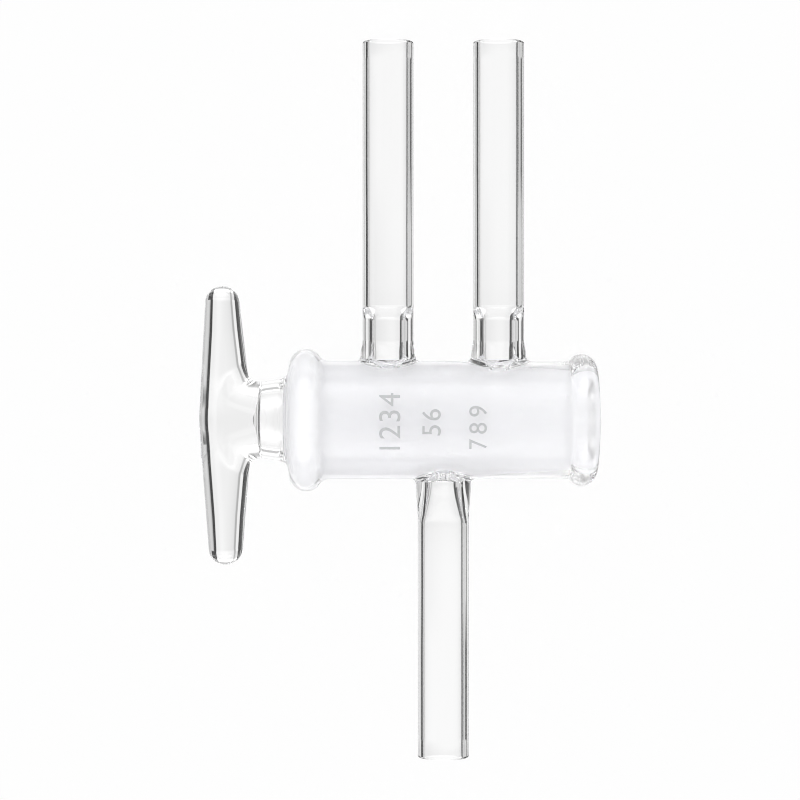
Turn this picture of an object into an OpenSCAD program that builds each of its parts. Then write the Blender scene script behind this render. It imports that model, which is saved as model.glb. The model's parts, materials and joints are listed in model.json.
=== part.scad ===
// Three-way glass stopcock: a beaded barrel with two arms on one side and one on
// the other, and a hollow ground plug with a T handle and two oblique bores.
// It lies on a bench the way it comes to rest, on its two beads and one arm's tip.

/* [Barrel] */
// Outside diameter of the barrel tube
barrel_d = 23.1; // [22.2:0.1:24.8]
// From the single arm's axis to the middle of the bead on the handle side
handle_side = 26.9; // [25:0.1:34]
// From the single arm's axis to the middle of the bead on the far side
far_side = 27.05; // [25:0.1:34]
// Outside diameter of the bead on the handle side
handle_bead_d = 28; // [27:0.1:31]
// Radius of the glass rolled into the bead on the handle side
handle_bead_r = 3.25; // [3:0.05:3.6]
// Radius of the soft hollow between that bead and the tube
bead_hollow_r = 2.6; // [1.5:0.1:3.2]
// Outside diameter of the bead on the far side, which is rolled from the whole wall
far_bead_d = 25.9; // [25.6:0.1:29]

/* [Ground joint] */
// Diameter of the ground taper where the single arm's axis crosses it
seat_d = 17; // [16:0.1:17.6]
// Length in which the taper's diameter grows by one
taper_run = 10; // [9.5:0.5:14]
// Radial gap for the film of grease
grease_gap = 0.04; // [0.02:0.01:0.08]

/* [Arms] */
// Outside diameter of the arms
arm_d = 10; // [9:0.1:11]
// Wall of the arms
arm_wall = 1; // [0.8:0.1:1.4]
// Radius that the flame left on the cut ends, inside and outside
arm_end_r = 0.35; // [0.2:0.05:0.39]
// Distance between the axes of the paired arms
arm_spacing = 21.66; // [19:0.1:26]
// From the barrel's axis to the ends of the paired arms
paired_reach = 74.1; // [58:0.1:120]
// From the barrel's axis to the end of the single arm
single_reach = 66.05; // [50:0.1:92]
// Diameter of the bores through the barrel's wall and the plug
bore_d = 4; // [3:0.1:4.4]
// Diameter of the thick root where an arm meets the barrel
root_d = 11.3; // [11:0.1:12]
// Length over which a paired arm's root narrows to the arm
paired_root_length = 5; // [3:0.1:8]
// Length over which the single arm's root narrows to the arm
single_root_length = 8.4; // [3:0.1:9]
// From the barrel's axis to where a paired arm's wide bore ends
paired_shoulder_at = 22.5; // [21:0.1:26]
// From the barrel's axis to where the single arm's wide bore ends
single_shoulder_at = 21; // [20.4:0.1:26]
// Length of the step from a paired arm's wide bore to the bore in its root
paired_step_length = 3.2; // [2:0.1:4.5]
// Length of the same step in the single arm
single_step_length = 2.3; // [1.5:0.1:3.5]
// Diameter of the bore in a paired arm's root
paired_root_bore_d = 6.1; // [5:0.1:7]
// Diameter of the bore in the single arm's root
single_root_bore_d = 6.3; // [5:0.1:7]
// Length over which the bore in a paired arm's root runs straight
paired_straight_length = 5; // [1:0.1:6]
// Length of the same straight bore in the single arm
single_straight_length = 0.2; // [0.1:0.1:1.5]
// Length over which the bore in a paired arm's root narrows to the plug's
paired_narrow_length = 2; // [1:0.1:3]
// Length over which the bore in the single arm's root narrows to the plug's
single_narrow_length = 6; // [4:0.1:7]
// Width of the fused seal round an arm's root
seal_size = 1.5; // [0.8:0.1:1.9]

/* [Plug] */
// Wall of the hollow plug
plug_wall = 1.9; // [1.5:0.1:2.2]
// Wall of the two bore tubes inside the plug
bore_tube_wall = 1.1; // [0.8:0.1:1.3]
// Length of the ground cone that stands out of the barrel's mouth
plug_stand_out = 0.2; // [0:0.1:1.5]
// Depth of the plug's small end inside the far mouth
plug_end_depth = 0.5; // [0:0.1:2]
// Radius round the plug's small end
plug_end_r = 2.2; // [1:0.1:2.6]
// Diameter of the neck where it meets the handle
neck_d = 15; // [14:0.1:15.6]
// Diameter of the neck where it starts to flare
neck_flare_d = 16; // [15.7:0.1:16.6]
// Wall of the neck
neck_wall = 1.8; // [1.4:0.1:2.2]
// Length of the hollow neck, its flare included
neck_length = 5.5; // [4.5:0.1:8]
// Radius of the flare from the neck to the ground cone
flare_r = 1.95; // [1.4:0.05:2.2]

/* [Handle] */
// Width of the T handle at its middle, along the plug
handle_w = 9.7; // [8.5:0.1:11]
// Thickness of the T handle beside its boss
handle_t = 7.8; // [7.7:0.1:9]
// Width of the T handle at its ends
handle_end_w = 6.5; // [6.3:0.1:8]
// Thickness of the T handle at its ends
handle_end_t = 6.4; // [6.3:0.1:7.2]
// Radius of the T handle's edges at its middle
handle_edge_r = 3.5; // [2.5:0.1:3.8]
// Radius of the T handle's edges at its ends
handle_end_edge_r = 3.1; // [2.5:0.05:3.1]
// Reach of the handle on the side of the paired arms
handle_reach_paired = 26.3; // [20:0.1:32]
// Reach of the handle on the side of the single arm
handle_reach_single = 28.4; // [20:0.1:34]
// Angle by which the handle was set askew
handle_lean = 0.8; // [-2:0.1:2]
// Length of the solid boss between the handle and the hollow neck
boss_length = 2.3; // [1.5:0.1:4]
// Thickness of the boss where it leaves the handle
boss_t = 10; // [9:0.1:12]
// Reach of the boss along the handle's arms
boss_reach = 8.7; // [7.8:0.1:10]

/* [Hidden] */

// Facets on round things, and on the pieces of a rounded handle
round_steps = 96;
hull_steps = 22;
// How far joined forms run into each other
bite = 0.1;
// How far a cut runs past the surface that it opens
past = 1;
// Smooth meetings of two arcs keep this much overlap, and the far bead this much in the seat
lap = 0.02;
seat_lap = 0.24;
// Steps round an arm's seal and across it
seal_turns = 40;
seal_steps = 5;

barrel_r = barrel_d / 2;
handle_ring_r = handle_bead_d / 2 - handle_bead_r;
arm_r = arm_d / 2;
arm_bore_r = arm_r - arm_wall;
root_r = root_d / 2;
bore_r = bore_d / 2;

// Bore of each root: its radius, and the lengths of its step, its straight run and its narrowing
paired_root = [
    paired_root_bore_d / 2,
    paired_step_length,
    paired_straight_length,
    paired_narrow_length
];
single_root = [
    single_root_bore_d / 2,
    single_step_length,
    single_straight_length,
    single_narrow_length
];

// Radius of the ground plug, and of the seat that it turns in, at a place along the axis
function plug_r(x) = seat_d / 2 - x / (2 * taper_run);
function seat_r(x) = plug_r(x) + grease_gap;

// The far bead is a full round of the wall, and its inner side runs a little into the seat
far_bead_r = (far_bead_d / 2 - seat_r(far_side) + seat_lap) / 2;
far_ring_r = far_bead_d / 2 - far_bead_r;

// Places along the barrel's axis, from the single arm's axis
mouth_x = -handle_side - handle_bead_r;
far_mouth_x = far_side + far_bead_r;
cone_start_x = mouth_x - plug_stand_out;
cone_end_x = far_mouth_x - plug_end_depth;
neck_start_x = cone_start_x - neck_length;
boss_start_x = neck_start_x - boss_length;
handle_x = boss_start_x - handle_w / 2;

// Where a bore's axis meets the ground cone, from a point at height side * plug_r
function cone_point(x, side) = [x, side * plug_r(x), 0];

// Height of the barrel's surface beside an arm, at radius r and turn a from the arm's axis
function barrel_height(r, a) = sqrt(pow(barrel_r, 2) - pow(r * sin(a), 2));

// Radius of an arm's outside at a height over the barrel's axis
function root_share(h, root_length) = min(1, max(0, (h - barrel_r) / root_length));
function root_r_at(h, root_length) = root_r - (root_r - arm_r) * root_share(h, root_length);

// Rest pose: the far bead is the smaller one, so the barrel pitches down towards it
ring_run = far_side + handle_side;
ring_fall = handle_ring_r - far_ring_r;
bead_fall = handle_bead_r - far_bead_r;
rest_pitch = atan2(ring_fall, ring_run) + asin(bead_fall / norm([ring_run, ring_fall]));
axis_height = handle_bead_r + handle_ring_r * cos(rest_pitch) - handle_side * sin(rest_pitch);

// The paired arms are the heavier side, so the tip nearer the smaller bead comes down to the bench
tip_run = paired_reach - arm_end_r;
tip_ring_r = arm_r - arm_end_r;
tip_drop = (axis_height - arm_end_r - arm_spacing / 2 * sin(rest_pitch)) / cos(rest_pitch);
rest_roll = asin(tip_drop / norm([tip_run, tip_ring_r])) - atan2(tip_ring_r, tip_run);

// Extents of the part as it lies, which put the origin under the middle of its box
handle_flat_t = handle_t / 2 - handle_edge_r;
low_x = (handle_x - handle_w / 2 + handle_edge_r) * cos(rest_pitch)
    - handle_flat_t * sin(rest_pitch) - handle_edge_r;
high_x = far_side * cos(rest_pitch) + far_ring_r * sin(rest_pitch) + far_bead_r;
function arm_extent(reach) = (reach - arm_end_r) * cos(rest_roll)
    + tip_ring_r * sin(rest_roll) + arm_end_r;
middle_x = (low_x + high_x) / 2;
middle_y = (arm_extent(paired_reach) - arm_extent(single_reach)) / 2;

// Puts the part down on the bench
module lay_down() {
    translate([-middle_x, -middle_y, axis_height])
        rotate([0, rest_pitch, 0])
            rotate([-rest_roll, 0, 0])
                children();
}

// Turns a profile drawn as [place along the axis, radius] round the barrel's axis
module turn() {
    rotate([0, 90, 0])
        rotate_extrude($fn = round_steps)
            rotate(90)
                mirror([0, 1])
                    children();
}

// Stands children, drawn along +Z with the barrel along X, on one side of the barrel
module on_side(side) {
    rotate([side > 0 ? -90 : 90, 0, 0])
        children();
}

// Places what belongs to the paired arms on both of their axes
module at_paired_arms() {
    for (x = [-arm_spacing / 2, arm_spacing / 2])
        translate([x, 0, 0])
            on_side(1)
                children();
}

// Hollow between the handle-side bead and the tube
module bead_hollow() {
    hollow_y = barrel_r + bead_hollow_r - lap;
    reach = handle_bead_r + bead_hollow_r - lap;
    hollow_x = -handle_side + sqrt(pow(reach, 2) - pow(hollow_y - handle_ring_r, 2));
    difference() {
        polygon([
            [-handle_side, handle_ring_r],
            [hollow_x, hollow_y],
            [hollow_x, barrel_r - past],
            [-handle_side, barrel_r - past]
        ]);
        translate([hollow_x, hollow_y])
            circle(r = bead_hollow_r, $fn = round_steps);
    }
}

// Outside of the barrel: its tube, the two rolled beads and the hollow beside one
module barrel_outside() {
    turn() {
        translate([-handle_side, 0])
            square([handle_side + far_side, barrel_r]);
        translate([-handle_side, handle_ring_r])
            circle(r = handle_bead_r, $fn = round_steps);
        translate([far_side, far_ring_r])
            circle(r = far_bead_r, $fn = round_steps);
        bead_hollow();
    }
}

// Ground seat, a taper that runs right through the barrel
module seat() {
    turn()
        polygon([
            [mouth_x - past, 0],
            [mouth_x - past, seat_r(mouth_x - past)],
            [far_mouth_x + past, seat_r(far_mouth_x + past)],
            [far_mouth_x + past, 0]
        ]);
}

// Outside of an arm, along +Z, with its thick root and the flame-rounded end
module arm_outside(reach, root_length) {
    rotate_extrude($fn = round_steps) {
        polygon([
            [0, barrel_r / 2],
            [root_r, barrel_r / 2],
            [root_r, barrel_r],
            [arm_r, barrel_r + root_length],
            [arm_r, reach - arm_end_r],
            [0, reach - arm_end_r]
        ]);
        translate([0, reach - arm_end_r - bite])
            square([arm_r - arm_end_r, arm_end_r + bite]);
        translate([arm_r - arm_end_r, reach - arm_end_r])
            circle(r = arm_end_r, $fn = round_steps);
    }
}

// Bore of an arm, along +Z: wide, then a step down to the bore of the root, which runs straight
// and narrows to the plug's. A root's values are its bore's radius and its three lengths.
module arm_bore(reach, shoulder_at, root) {
    straight_at = shoulder_at - root[1];
    narrow_at = straight_at - root[2];
    rotate_extrude($fn = round_steps) {
        polygon([
            [0, 0],
            [bore_r, 0],
            [bore_r, narrow_at - root[3]],
            [root[0], narrow_at],
            [root[0], straight_at],
            [arm_bore_r, shoulder_at],
            [arm_bore_r, reach + past],
            [0, reach + past]
        ]);
        difference() {
            translate([0, reach - arm_end_r])
                square([arm_bore_r + arm_end_r, arm_end_r + past]);
            translate([arm_bore_r + arm_end_r, reach - arm_end_r])
                circle(r = arm_end_r, $fn = round_steps);
        }
    }
}

// Points across the seal at turn a: a curve from the arm's wall down to the barrel's
// surface, closed by two points sunk in the glass
function seal_section(a, root_length) =
    let (
        corner = [root_r, barrel_height(root_r, a)],
        top_h = corner[1] + seal_size,
        foot_r = root_r + seal_size,
        top = [root_r_at(top_h, root_length) - bite, top_h],
        foot = [foot_r, barrel_height(foot_r, a) - bite]
    )
    concat(
        [for (i = [0 : seal_steps])
            let (t = i / seal_steps)
            pow(1 - t, 2) * top + 2 * t * (1 - t) * corner + pow(t, 2) * foot],
        [
            [foot_r - bite, barrel_height(foot_r, a) - past],
            [root_r - past, corner[1] - past]
        ]
    );

// Fused seal round an arm's root, along +Z, which follows the barrel's curved surface
module arm_seal(root_length) {
    size = seal_steps + 3;
    points = [
        for (i = [0 : seal_turns - 1], p = seal_section(i * 360 / seal_turns, root_length))
            let (a = i * 360 / seal_turns)
            [p[0] * cos(a), p[0] * sin(a), p[1]]
    ];
    faces = [
        for (i = [0 : seal_turns - 1], j = [0 : size - 1])
            let (
                here = i * size,
                next = (i + 1) % seal_turns * size,
                k = (j + 1) % size
            )
            each [[here + j, next + j, next + k], [here + j, next + k, here + k]]
    ];
    polyhedron(points, faces, convexity = 4);
}

// Barrel with its three arms, blown and fused as one piece of glass
module barrel() {
    color([0.86, 0.9, 0.91, 0.35])
        lay_down()
            difference() {
                union() {
                    barrel_outside();
                    at_paired_arms() {
                        arm_outside(paired_reach, paired_root_length);
                        arm_seal(paired_root_length);
                    }
                    on_side(-1) {
                        arm_outside(single_reach, single_root_length);
                        arm_seal(single_root_length);
                    }
                }
                seat();
                at_paired_arms()
                    arm_bore(paired_reach, paired_shoulder_at, paired_root);
                on_side(-1)
                    arm_bore(single_reach, single_shoulder_at, single_root);
            }
}

// Outside of the plug: ground cone, rounded small end, flare and neck
module plug_outside() {
    slope = atan(1 / (2 * taper_run));
    end_x = cone_end_x - plug_end_r;
    end_ring_r = plug_r(end_x) - plug_end_r / cos(slope) + lap;
    turn() {
        polygon([
            [cone_start_x - bite, 0],
            [cone_start_x, plug_r(cone_start_x)],
            [end_x, plug_r(end_x)],
            [end_x, 0]
        ]);
        translate([end_x - bite, 0])
            square([plug_end_r + bite, end_ring_r]);
        translate([end_x, end_ring_r])
            circle(r = plug_end_r, $fn = round_steps);
        neck_outside();
    }
}

// Profile of the neck's outside, with the hollow flare up to the ground cone
module neck_outside() {
    flare_x = cone_start_x - flare_r;
    neck_r = neck_d / 2;
    neck_flare_r = neck_flare_d / 2;
    difference() {
        polygon([
            [neck_start_x - bite, 0],
            [neck_start_x - bite, neck_r],
            [flare_x, neck_flare_r],
            [flare_x, plug_r(cone_start_x) - lap],
            [cone_start_x + bite, plug_r(cone_start_x) - lap],
            [cone_start_x + bite, 0]
        ]);
        translate([flare_x, neck_flare_r + flare_r])
            circle(r = flare_r, $fn = round_steps);
    }
}

// Cavity of the plug, from the neck to the small end
module plug_cavity() {
    wide_x = cone_start_x + plug_wall;
    narrow_x = cone_start_x - flare_r;
    end_x = cone_end_x - plug_wall;
    turn()
        polygon([
            [neck_start_x, 0],
            [neck_start_x, neck_d / 2 - neck_wall],
            [narrow_x, neck_flare_d / 2 - neck_wall],
            [wide_x, plug_r(wide_x) - plug_wall],
            [end_x - plug_end_r / 2, plug_r(end_x) - plug_wall],
            [end_x, plug_r(end_x) - plug_wall - plug_end_r / 2],
            [end_x, 0]
        ]);
}

// A straight rod of radius r between two points in the plane of the arms, lengthened at both ends
module rod(from, to, r) {
    run = to - from;
    translate(from)
        rotate([0, 0, atan2(run[1], run[0])])
            rotate([0, 90, 0])
                translate([0, 0, -2 * r])
                    cylinder(r = r, h = norm(run) + 4 * r, $fn = round_steps);
}

// The two oblique ways through the plug: one joins the single arm to a paired arm as it
// lies, the other joins it to the second paired arm after half a turn
module oblique_rods(r) {
    rod(cone_point(0, -1), cone_point(-arm_spacing / 2, 1), r);
    rod(cone_point(0, 1), cone_point(arm_spacing / 2, -1), r);
}

// Balls at the corners of the handle's section at place y: w wide, t thick, with edges of edge_r
module handle_section(y, w, t, edge_r) {
    for (i = [-1, 1], j = [-1, 1])
        translate([i * (w / 2 - edge_r), y, j * (t / 2 - edge_r)])
            sphere(r = edge_r, $fn = hull_steps);
}

// One arm of the T handle, from its middle to its rounded end
module handle_arm(reach) {
    side = sign(reach);
    hull() {
        handle_section(0, handle_w, handle_t, handle_edge_r);
        handle_section(reach - side * handle_end_edge_r, handle_end_w, handle_end_t, handle_end_edge_r);
    }
}

// Solid boss that swells from the flat handle to the round neck
module boss() {
    spread = boss_reach - handle_edge_r;
    taper = (handle_w - handle_end_w) / (handle_reach_paired - handle_edge_r);
    hull() {
        for (side = [-1, 1])
            handle_section(side * spread, handle_w - spread * taper, boss_t, handle_edge_r);
        translate([handle_w / 2 + boss_length - past, 0, 0])
            rotate([0, 90, 0])
                cylinder(r = neck_d / 2, h = past + bite, $fn = hull_steps);
    }
}

// T handle with its boss, pressed solid and fused to the plug's neck
module handle() {
    translate([handle_x, 0, 0]) {
        rotate([0, 0, handle_lean]) {
            handle_arm(handle_reach_paired);
            handle_arm(-handle_reach_single);
        }
        boss();
    }
}

// Hollow ground plug with its bore tubes, neck and handle, fused as one piece of glass
module plug() {
    color([0.9, 0.92, 0.93, 0.45])
        lay_down()
            difference() {
                union() {
                    difference() {
                        plug_outside();
                        plug_cavity();
                    }
                    intersection() {
                        plug_outside();
                        oblique_rods(bore_r + bore_tube_wall);
                    }
                    handle();
                }
                oblique_rods(bore_r);
            }
}

barrel();
plug();
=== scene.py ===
"""Looks of a three-way glass stopcock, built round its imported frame.

The barrel and the plug are made again as smooth closed skins of glass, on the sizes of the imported
model, with the soft curves of blown and fused glass and the fine grain of the ground joint.
All sizes are in millimetres in the barrel's own axes: X along the barrel away from the handle,
Y towards the paired arms, and Z towards whoever looks down on the stopcock.
"""
import json
import logging
import math
from collections.abc import Callable
from dataclasses import dataclass
from enum import IntEnum

import bmesh
import bpy
import numpy as np
from mathutils import Matrix, Vector


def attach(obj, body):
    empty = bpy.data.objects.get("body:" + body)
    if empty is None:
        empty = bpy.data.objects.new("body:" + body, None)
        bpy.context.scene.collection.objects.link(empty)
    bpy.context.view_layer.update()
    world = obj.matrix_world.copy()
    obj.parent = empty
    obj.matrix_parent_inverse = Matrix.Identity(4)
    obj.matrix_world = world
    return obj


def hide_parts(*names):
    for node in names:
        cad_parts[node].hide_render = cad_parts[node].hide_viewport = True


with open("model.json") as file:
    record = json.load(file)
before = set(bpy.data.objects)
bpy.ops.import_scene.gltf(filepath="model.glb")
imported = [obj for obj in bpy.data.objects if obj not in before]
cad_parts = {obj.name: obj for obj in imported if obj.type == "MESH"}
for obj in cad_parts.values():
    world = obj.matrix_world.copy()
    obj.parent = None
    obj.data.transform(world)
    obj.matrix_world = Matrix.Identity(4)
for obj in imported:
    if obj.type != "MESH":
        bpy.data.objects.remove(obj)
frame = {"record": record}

# Short names of types, the last one for a measure that depends on the place
Tree, Socket = bpy.types.NodeTree, bpy.types.NodeSocket
Material, Object = bpy.types.Material, bpy.types.Object
ByPlace = Callable[[np.ndarray], np.ndarray]

LOG = logging.getLogger("stopcock")
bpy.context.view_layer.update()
MM = 0.001
# Columns of every skin that is turned round the barrel's axis
TURNS = 120
# Edges that bend more than this stay crisp
SHARP_EDGE = math.radians(38)
# Rows stand about this far apart, in millimetres: along a straight tube, round the hollow beside
# a bead, along the plug's neck, and where its cavity swells from the neck to the cone
TUBE_STEP = 4.0
HOLLOW_STEP = 0.25
NECK_STEP = 0.5
SWELL_STEP = 0.4
# Radius in millimetres of the fan of triangles that closes a flat end, and of the cavity's dome
CAP_R = 0.6
DOME_CAP_R = 0.5
# Rings in a soft bend of an arm, round its flame-rounded end, and from a bore to its window
BEND_RINGS = 13
END_RINGS = 7
WEB_RINGS = 8
# Rings along a bore of the plug, and rounds in which their ends settle on the cone
BORE_RINGS = 25
SETTLE_ROUNDS = 12
# Rounds in which a found skin is evened out
EVEN_ROUNDS = 6


class Finish(IntEnum):
    """Place of each finish in a piece's material slots."""

    CLEAR = 0
    GROUND = 1


# ---------------------------------------------------------------- axes and skins


@dataclass(frozen=True)
class BarrelAxes:
    """The barrel's own axes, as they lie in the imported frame.

    Attributes:
        origin: Where the single arm's axis crosses the barrel's, in metres.
        along: Direction of the barrel's axis, away from the handle.
        arms: Direction of the paired arms.
    """

    origin: Vector
    along: Vector
    arms: Vector

    @classmethod
    def from_record(cls, record: dict) -> "BarrelAxes":
        """Reads the axes from the plug's joint and a paired arm's mount.

        Args:
            record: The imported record.

        Returns:
            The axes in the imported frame.
        """
        joint = record["behaviour"]["joints"][0]
        mounts = {m["name"]: m for m in record["mounts"]}
        along = Vector(joint["axis"]).normalized()
        arms = Vector(mounts["paired_arm_far_side"]["axis"])
        arms = (arms - along * arms.dot(along)).normalized()
        return cls(Vector(joint["pos_m"]), along, arms)

    @property
    def facing(self) -> Vector:
        """Direction square to the plane of the arms, towards the viewer."""
        return self.along.cross(self.arms)

    def rotation(self) -> Matrix:
        """The axes as the columns of a rotation matrix."""
        return Matrix((self.along, self.arms, self.facing)).transposed().to_4x4()

    def to_frame(self) -> Matrix:
        """Matrix from millimetres in the barrel's axes to metres in the frame."""
        return Matrix.Translation(self.origin) @ self.rotation() @ Matrix.Scale(MM, 4)


class Skin:
    """A closed skin put together from rows of points, with a finish for each face."""

    def __init__(self) -> None:
        """Starts with no points."""
        self._points: list[np.ndarray] = []
        self._normals: list[np.ndarray] = []
        self._faces: list[np.ndarray] = []
        self._finishes: list[np.ndarray] = []
        self._count = 0

    def add(self, points: np.ndarray, normals: np.ndarray | None = None) -> np.ndarray:
        """Adds points.

        Args:
            points: Array whose last axis holds x, y and z.
            normals: Their exact normals, or None where the faces give them.

        Returns:
            The points' numbers, in the same rows.
        """
        flat = np.asarray(points, float).reshape(-1, 3)
        self._points.append(flat)
        self._normals.append(np.zeros_like(flat) if normals is None else normals.reshape(-1, 3))
        numbers = np.arange(self._count, self._count + len(flat))
        self._count += len(flat)
        return numbers.reshape(np.shape(points)[:-1])

    def faces(self, corners: np.ndarray, finish: Finish) -> None:
        """Adds faces, one row of point numbers each, in one finish."""
        self._faces.append(corners)
        self._finishes.append(np.full(len(corners), int(finish)))

    def weave(self, rows: np.ndarray, finish: Finish, open_cells: np.ndarray | None = None) -> None:
        """Adds the quads between rows of points that run all the way round.

        Args:
            rows: Point numbers, one closed ring a row.
            finish: Finish of the quads.
            open_cells: True for each cell that stays open.
        """
        here, after = rows, np.roll(rows, -1, axis=1)
        quads = np.stack([here[:-1], after[:-1], after[1:], here[1:]], axis=-1)
        if open_cells is not None:
            quads = quads[~open_cells]
        self.faces(quads.reshape(-1, 4), finish)

    def cap(self, ring: np.ndarray, centre: tuple[float, float, float], finish: Finish) -> None:
        """Closes a ring with a fan of triangles.

        Args:
            ring: Point numbers of the ring.
            centre: Where the triangles meet.
            finish: Finish of the triangles.
        """
        middle = self.add(np.array([centre]))[0]
        fan = np.stack([ring, np.roll(ring, -1), np.full(len(ring), middle)], axis=-1)
        self.faces(fan, finish)

    def zip_rings(self, ring: np.ndarray, other: np.ndarray, finish: Finish) -> None:
        """Joins two rings of different counts round the barrel's axis with triangles.

        Args:
            ring: Point numbers of the first ring.
            other: Point numbers of the second ring.
            finish: Finish of the triangles.
        """
        points = np.concatenate(self._points)
        turns = []
        for numbers in (ring, other):
            angles = np.arctan2(points[numbers, 2], points[numbers, 1])
            order = np.argsort(angles)
            turns.append((numbers[order], angles[order]))
        (a, at), (b, bt) = turns
        i = j = 0
        triangles = []
        while i < len(a) or j < len(b):
            next_a = at[i + 1] if i + 1 < len(a) else at[0] + math.tau
            next_b = bt[j + 1] if j + 1 < len(b) else bt[0] + math.tau
            if j >= len(b) or (i < len(a) and next_a <= next_b):
                triangles.append((a[i % len(a)], a[(i + 1) % len(a)], b[j % len(b)]))
                i += 1
            else:
                triangles.append((a[i % len(a)], b[(j + 1) % len(b)], b[j % len(b)]))
                j += 1
        self.faces(np.array(triangles), finish)

    def to_object(self, name: str, axes: BarrelAxes, finishes: list[Material]) -> Object:
        """Makes the mesh object, with smooth faces and crisp ground edges.

        Args:
            name: The piece's name.
            axes: The barrel's axes.
            finishes: Materials in the order of Finish.

        Returns:
            The object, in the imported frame.
        """
        mesh = bpy.data.meshes.new(name)
        faces = [row.tolist() for block in self._faces for row in block]
        mesh.from_pydata(np.concatenate(self._points).tolist(), [], faces)
        mesh.polygons.foreach_set("material_index", np.concatenate(self._finishes).astype(np.int32))
        for finish in finishes:
            mesh.materials.append(finish)
        mesh.transform(axes.to_frame())
        _turn_outward(mesh)
        mesh.shade_smooth()
        mesh.set_sharp_from_angle(angle=SHARP_EDGE)
        normals = np.concatenate(self._normals)
        if normals.any():
            facing = normals @ np.array(axes.rotation().to_3x3()).T
            mesh.normals_split_custom_set_from_vertices(facing.tolist())
        made = bpy.data.objects.new(name, mesh)
        bpy.context.scene.collection.objects.link(made)
        return made


def _turn_outward(mesh: bpy.types.Mesh) -> None:
    """Turns every face away from the glass, also round a closed cavity inside it.

    Args:
        mesh: The mesh, whose largest shell is its outside.
    """
    work = bmesh.new()
    work.from_mesh(mesh)
    bmesh.ops.recalc_face_normals(work, faces=work.faces)
    shells = _shells(work)
    boxes = [_reach(shell) for shell in shells]
    outer = max(range(len(shells)), key=lambda i: boxes[i])
    inner = [f for i, shell in enumerate(shells) if i != outer for f in shell]
    if inner:
        bmesh.ops.reverse_faces(work, faces=inner)
    work.to_mesh(mesh)
    work.free()


def _shells(work: bmesh.types.BMesh) -> list[list[bmesh.types.BMFace]]:
    """Sorts the faces of a mesh into its separate shells.

    Args:
        work: The mesh.

    Returns:
        The faces of each shell.
    """
    seen: set[int] = set()
    shells = []
    work.faces.ensure_lookup_table()
    work.faces.index_update()
    for start in work.faces:
        if start.index in seen:
            continue
        seen.add(start.index)
        shell, front = [], [start]
        while front:
            face = front.pop()
            shell.append(face)
            for edge in face.edges:
                for other in edge.link_faces:
                    if other.index not in seen:
                        seen.add(other.index)
                        front.append(other)
        shells.append(shell)
    return shells


def _reach(shell: list[bmesh.types.BMFace]) -> float:
    """Length of a shell along its longest side."""
    points = np.array([v.co for f in shell for v in f.verts])
    return float((points.max(0) - points.min(0)).max())


# ---------------------------------------------------------------- forms


def arc(
    centre: tuple[float, float], radius: float, start: float, end: float, steps: int
) -> np.ndarray:
    """Points on an arc in the plane of a profile.

    Args:
        centre: Centre, as place along the axis and distance from it.
        radius: Radius of the arc.
        start: First angle in degrees.
        end: Last angle in degrees.
        steps: Number of steps.

    Returns:
        One row of place and distance for each point.
    """
    turn = np.radians(np.linspace(start, end, steps + 1))
    return np.stack([centre[0] + radius * np.cos(turn), centre[1] + radius * np.sin(turn)], axis=-1)


def spaced(start: float, end: float, step: float) -> np.ndarray:
    """Even places from start to end, about a step apart, with both ends."""
    return np.linspace(start, end, max(2, round(abs(end - start) / step) + 1))


def smooth_share(t: np.ndarray) -> np.ndarray:
    """Soft ramp from 0 to 1 with level ends."""
    t = np.clip(t, 0, 1)
    return t * t * (3 - 2 * t)


def soft_ramp(t: np.ndarray, soft: float = 0.25) -> np.ndarray:
    """Ramp from 0 to 1 that is straight in its middle and soft at both ends.

    Args:
        t: Places along the ramp.
        soft: Share of the ramp that is soft, at each end.

    Returns:
        The ramp's heights.
    """
    t = np.clip(t, 0, 1)
    low, high = np.minimum(t, soft), np.maximum(t, 1 - soft) - (1 - soft)
    middle = np.clip(t - soft, 0, 1 - 2 * soft)
    return (low ** 2 / (2 * soft) + middle + high - high ** 2 / (2 * soft)) / (1 - soft)


def turned(profile: np.ndarray) -> np.ndarray:
    """Turns a profile into rings round the barrel's axis.

    Args:
        profile: One row of place and radius for each ring.

    Returns:
        Rings of points.
    """
    angles = np.arange(TURNS) * math.tau / TURNS
    x = np.repeat(profile[:, :1], TURNS, axis=1)
    y = profile[:, 1:] * np.cos(angles)
    z = profile[:, 1:] * np.sin(angles)
    return np.stack([x, y, z], axis=-1)


def even_places(start: float, end: float, cell: float, half: int) -> tuple[np.ndarray, int]:
    """Places of the rows of a round skin, in even cells where windows open in it.

    Args:
        start: First place.
        end: Last place.
        cell: Size of an even cell.
        half: Number of even cells to each side of the single arm's axis.

    Returns:
        The places, and the row of the single arm's axis.
    """
    even = np.arange(-half, half + 1) * cell
    before = spaced(start, even[0], cell)[:-1]
    after = spaced(even[-1], end, cell)[1:]
    return np.concatenate([before, even, after]), len(before) + half


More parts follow.
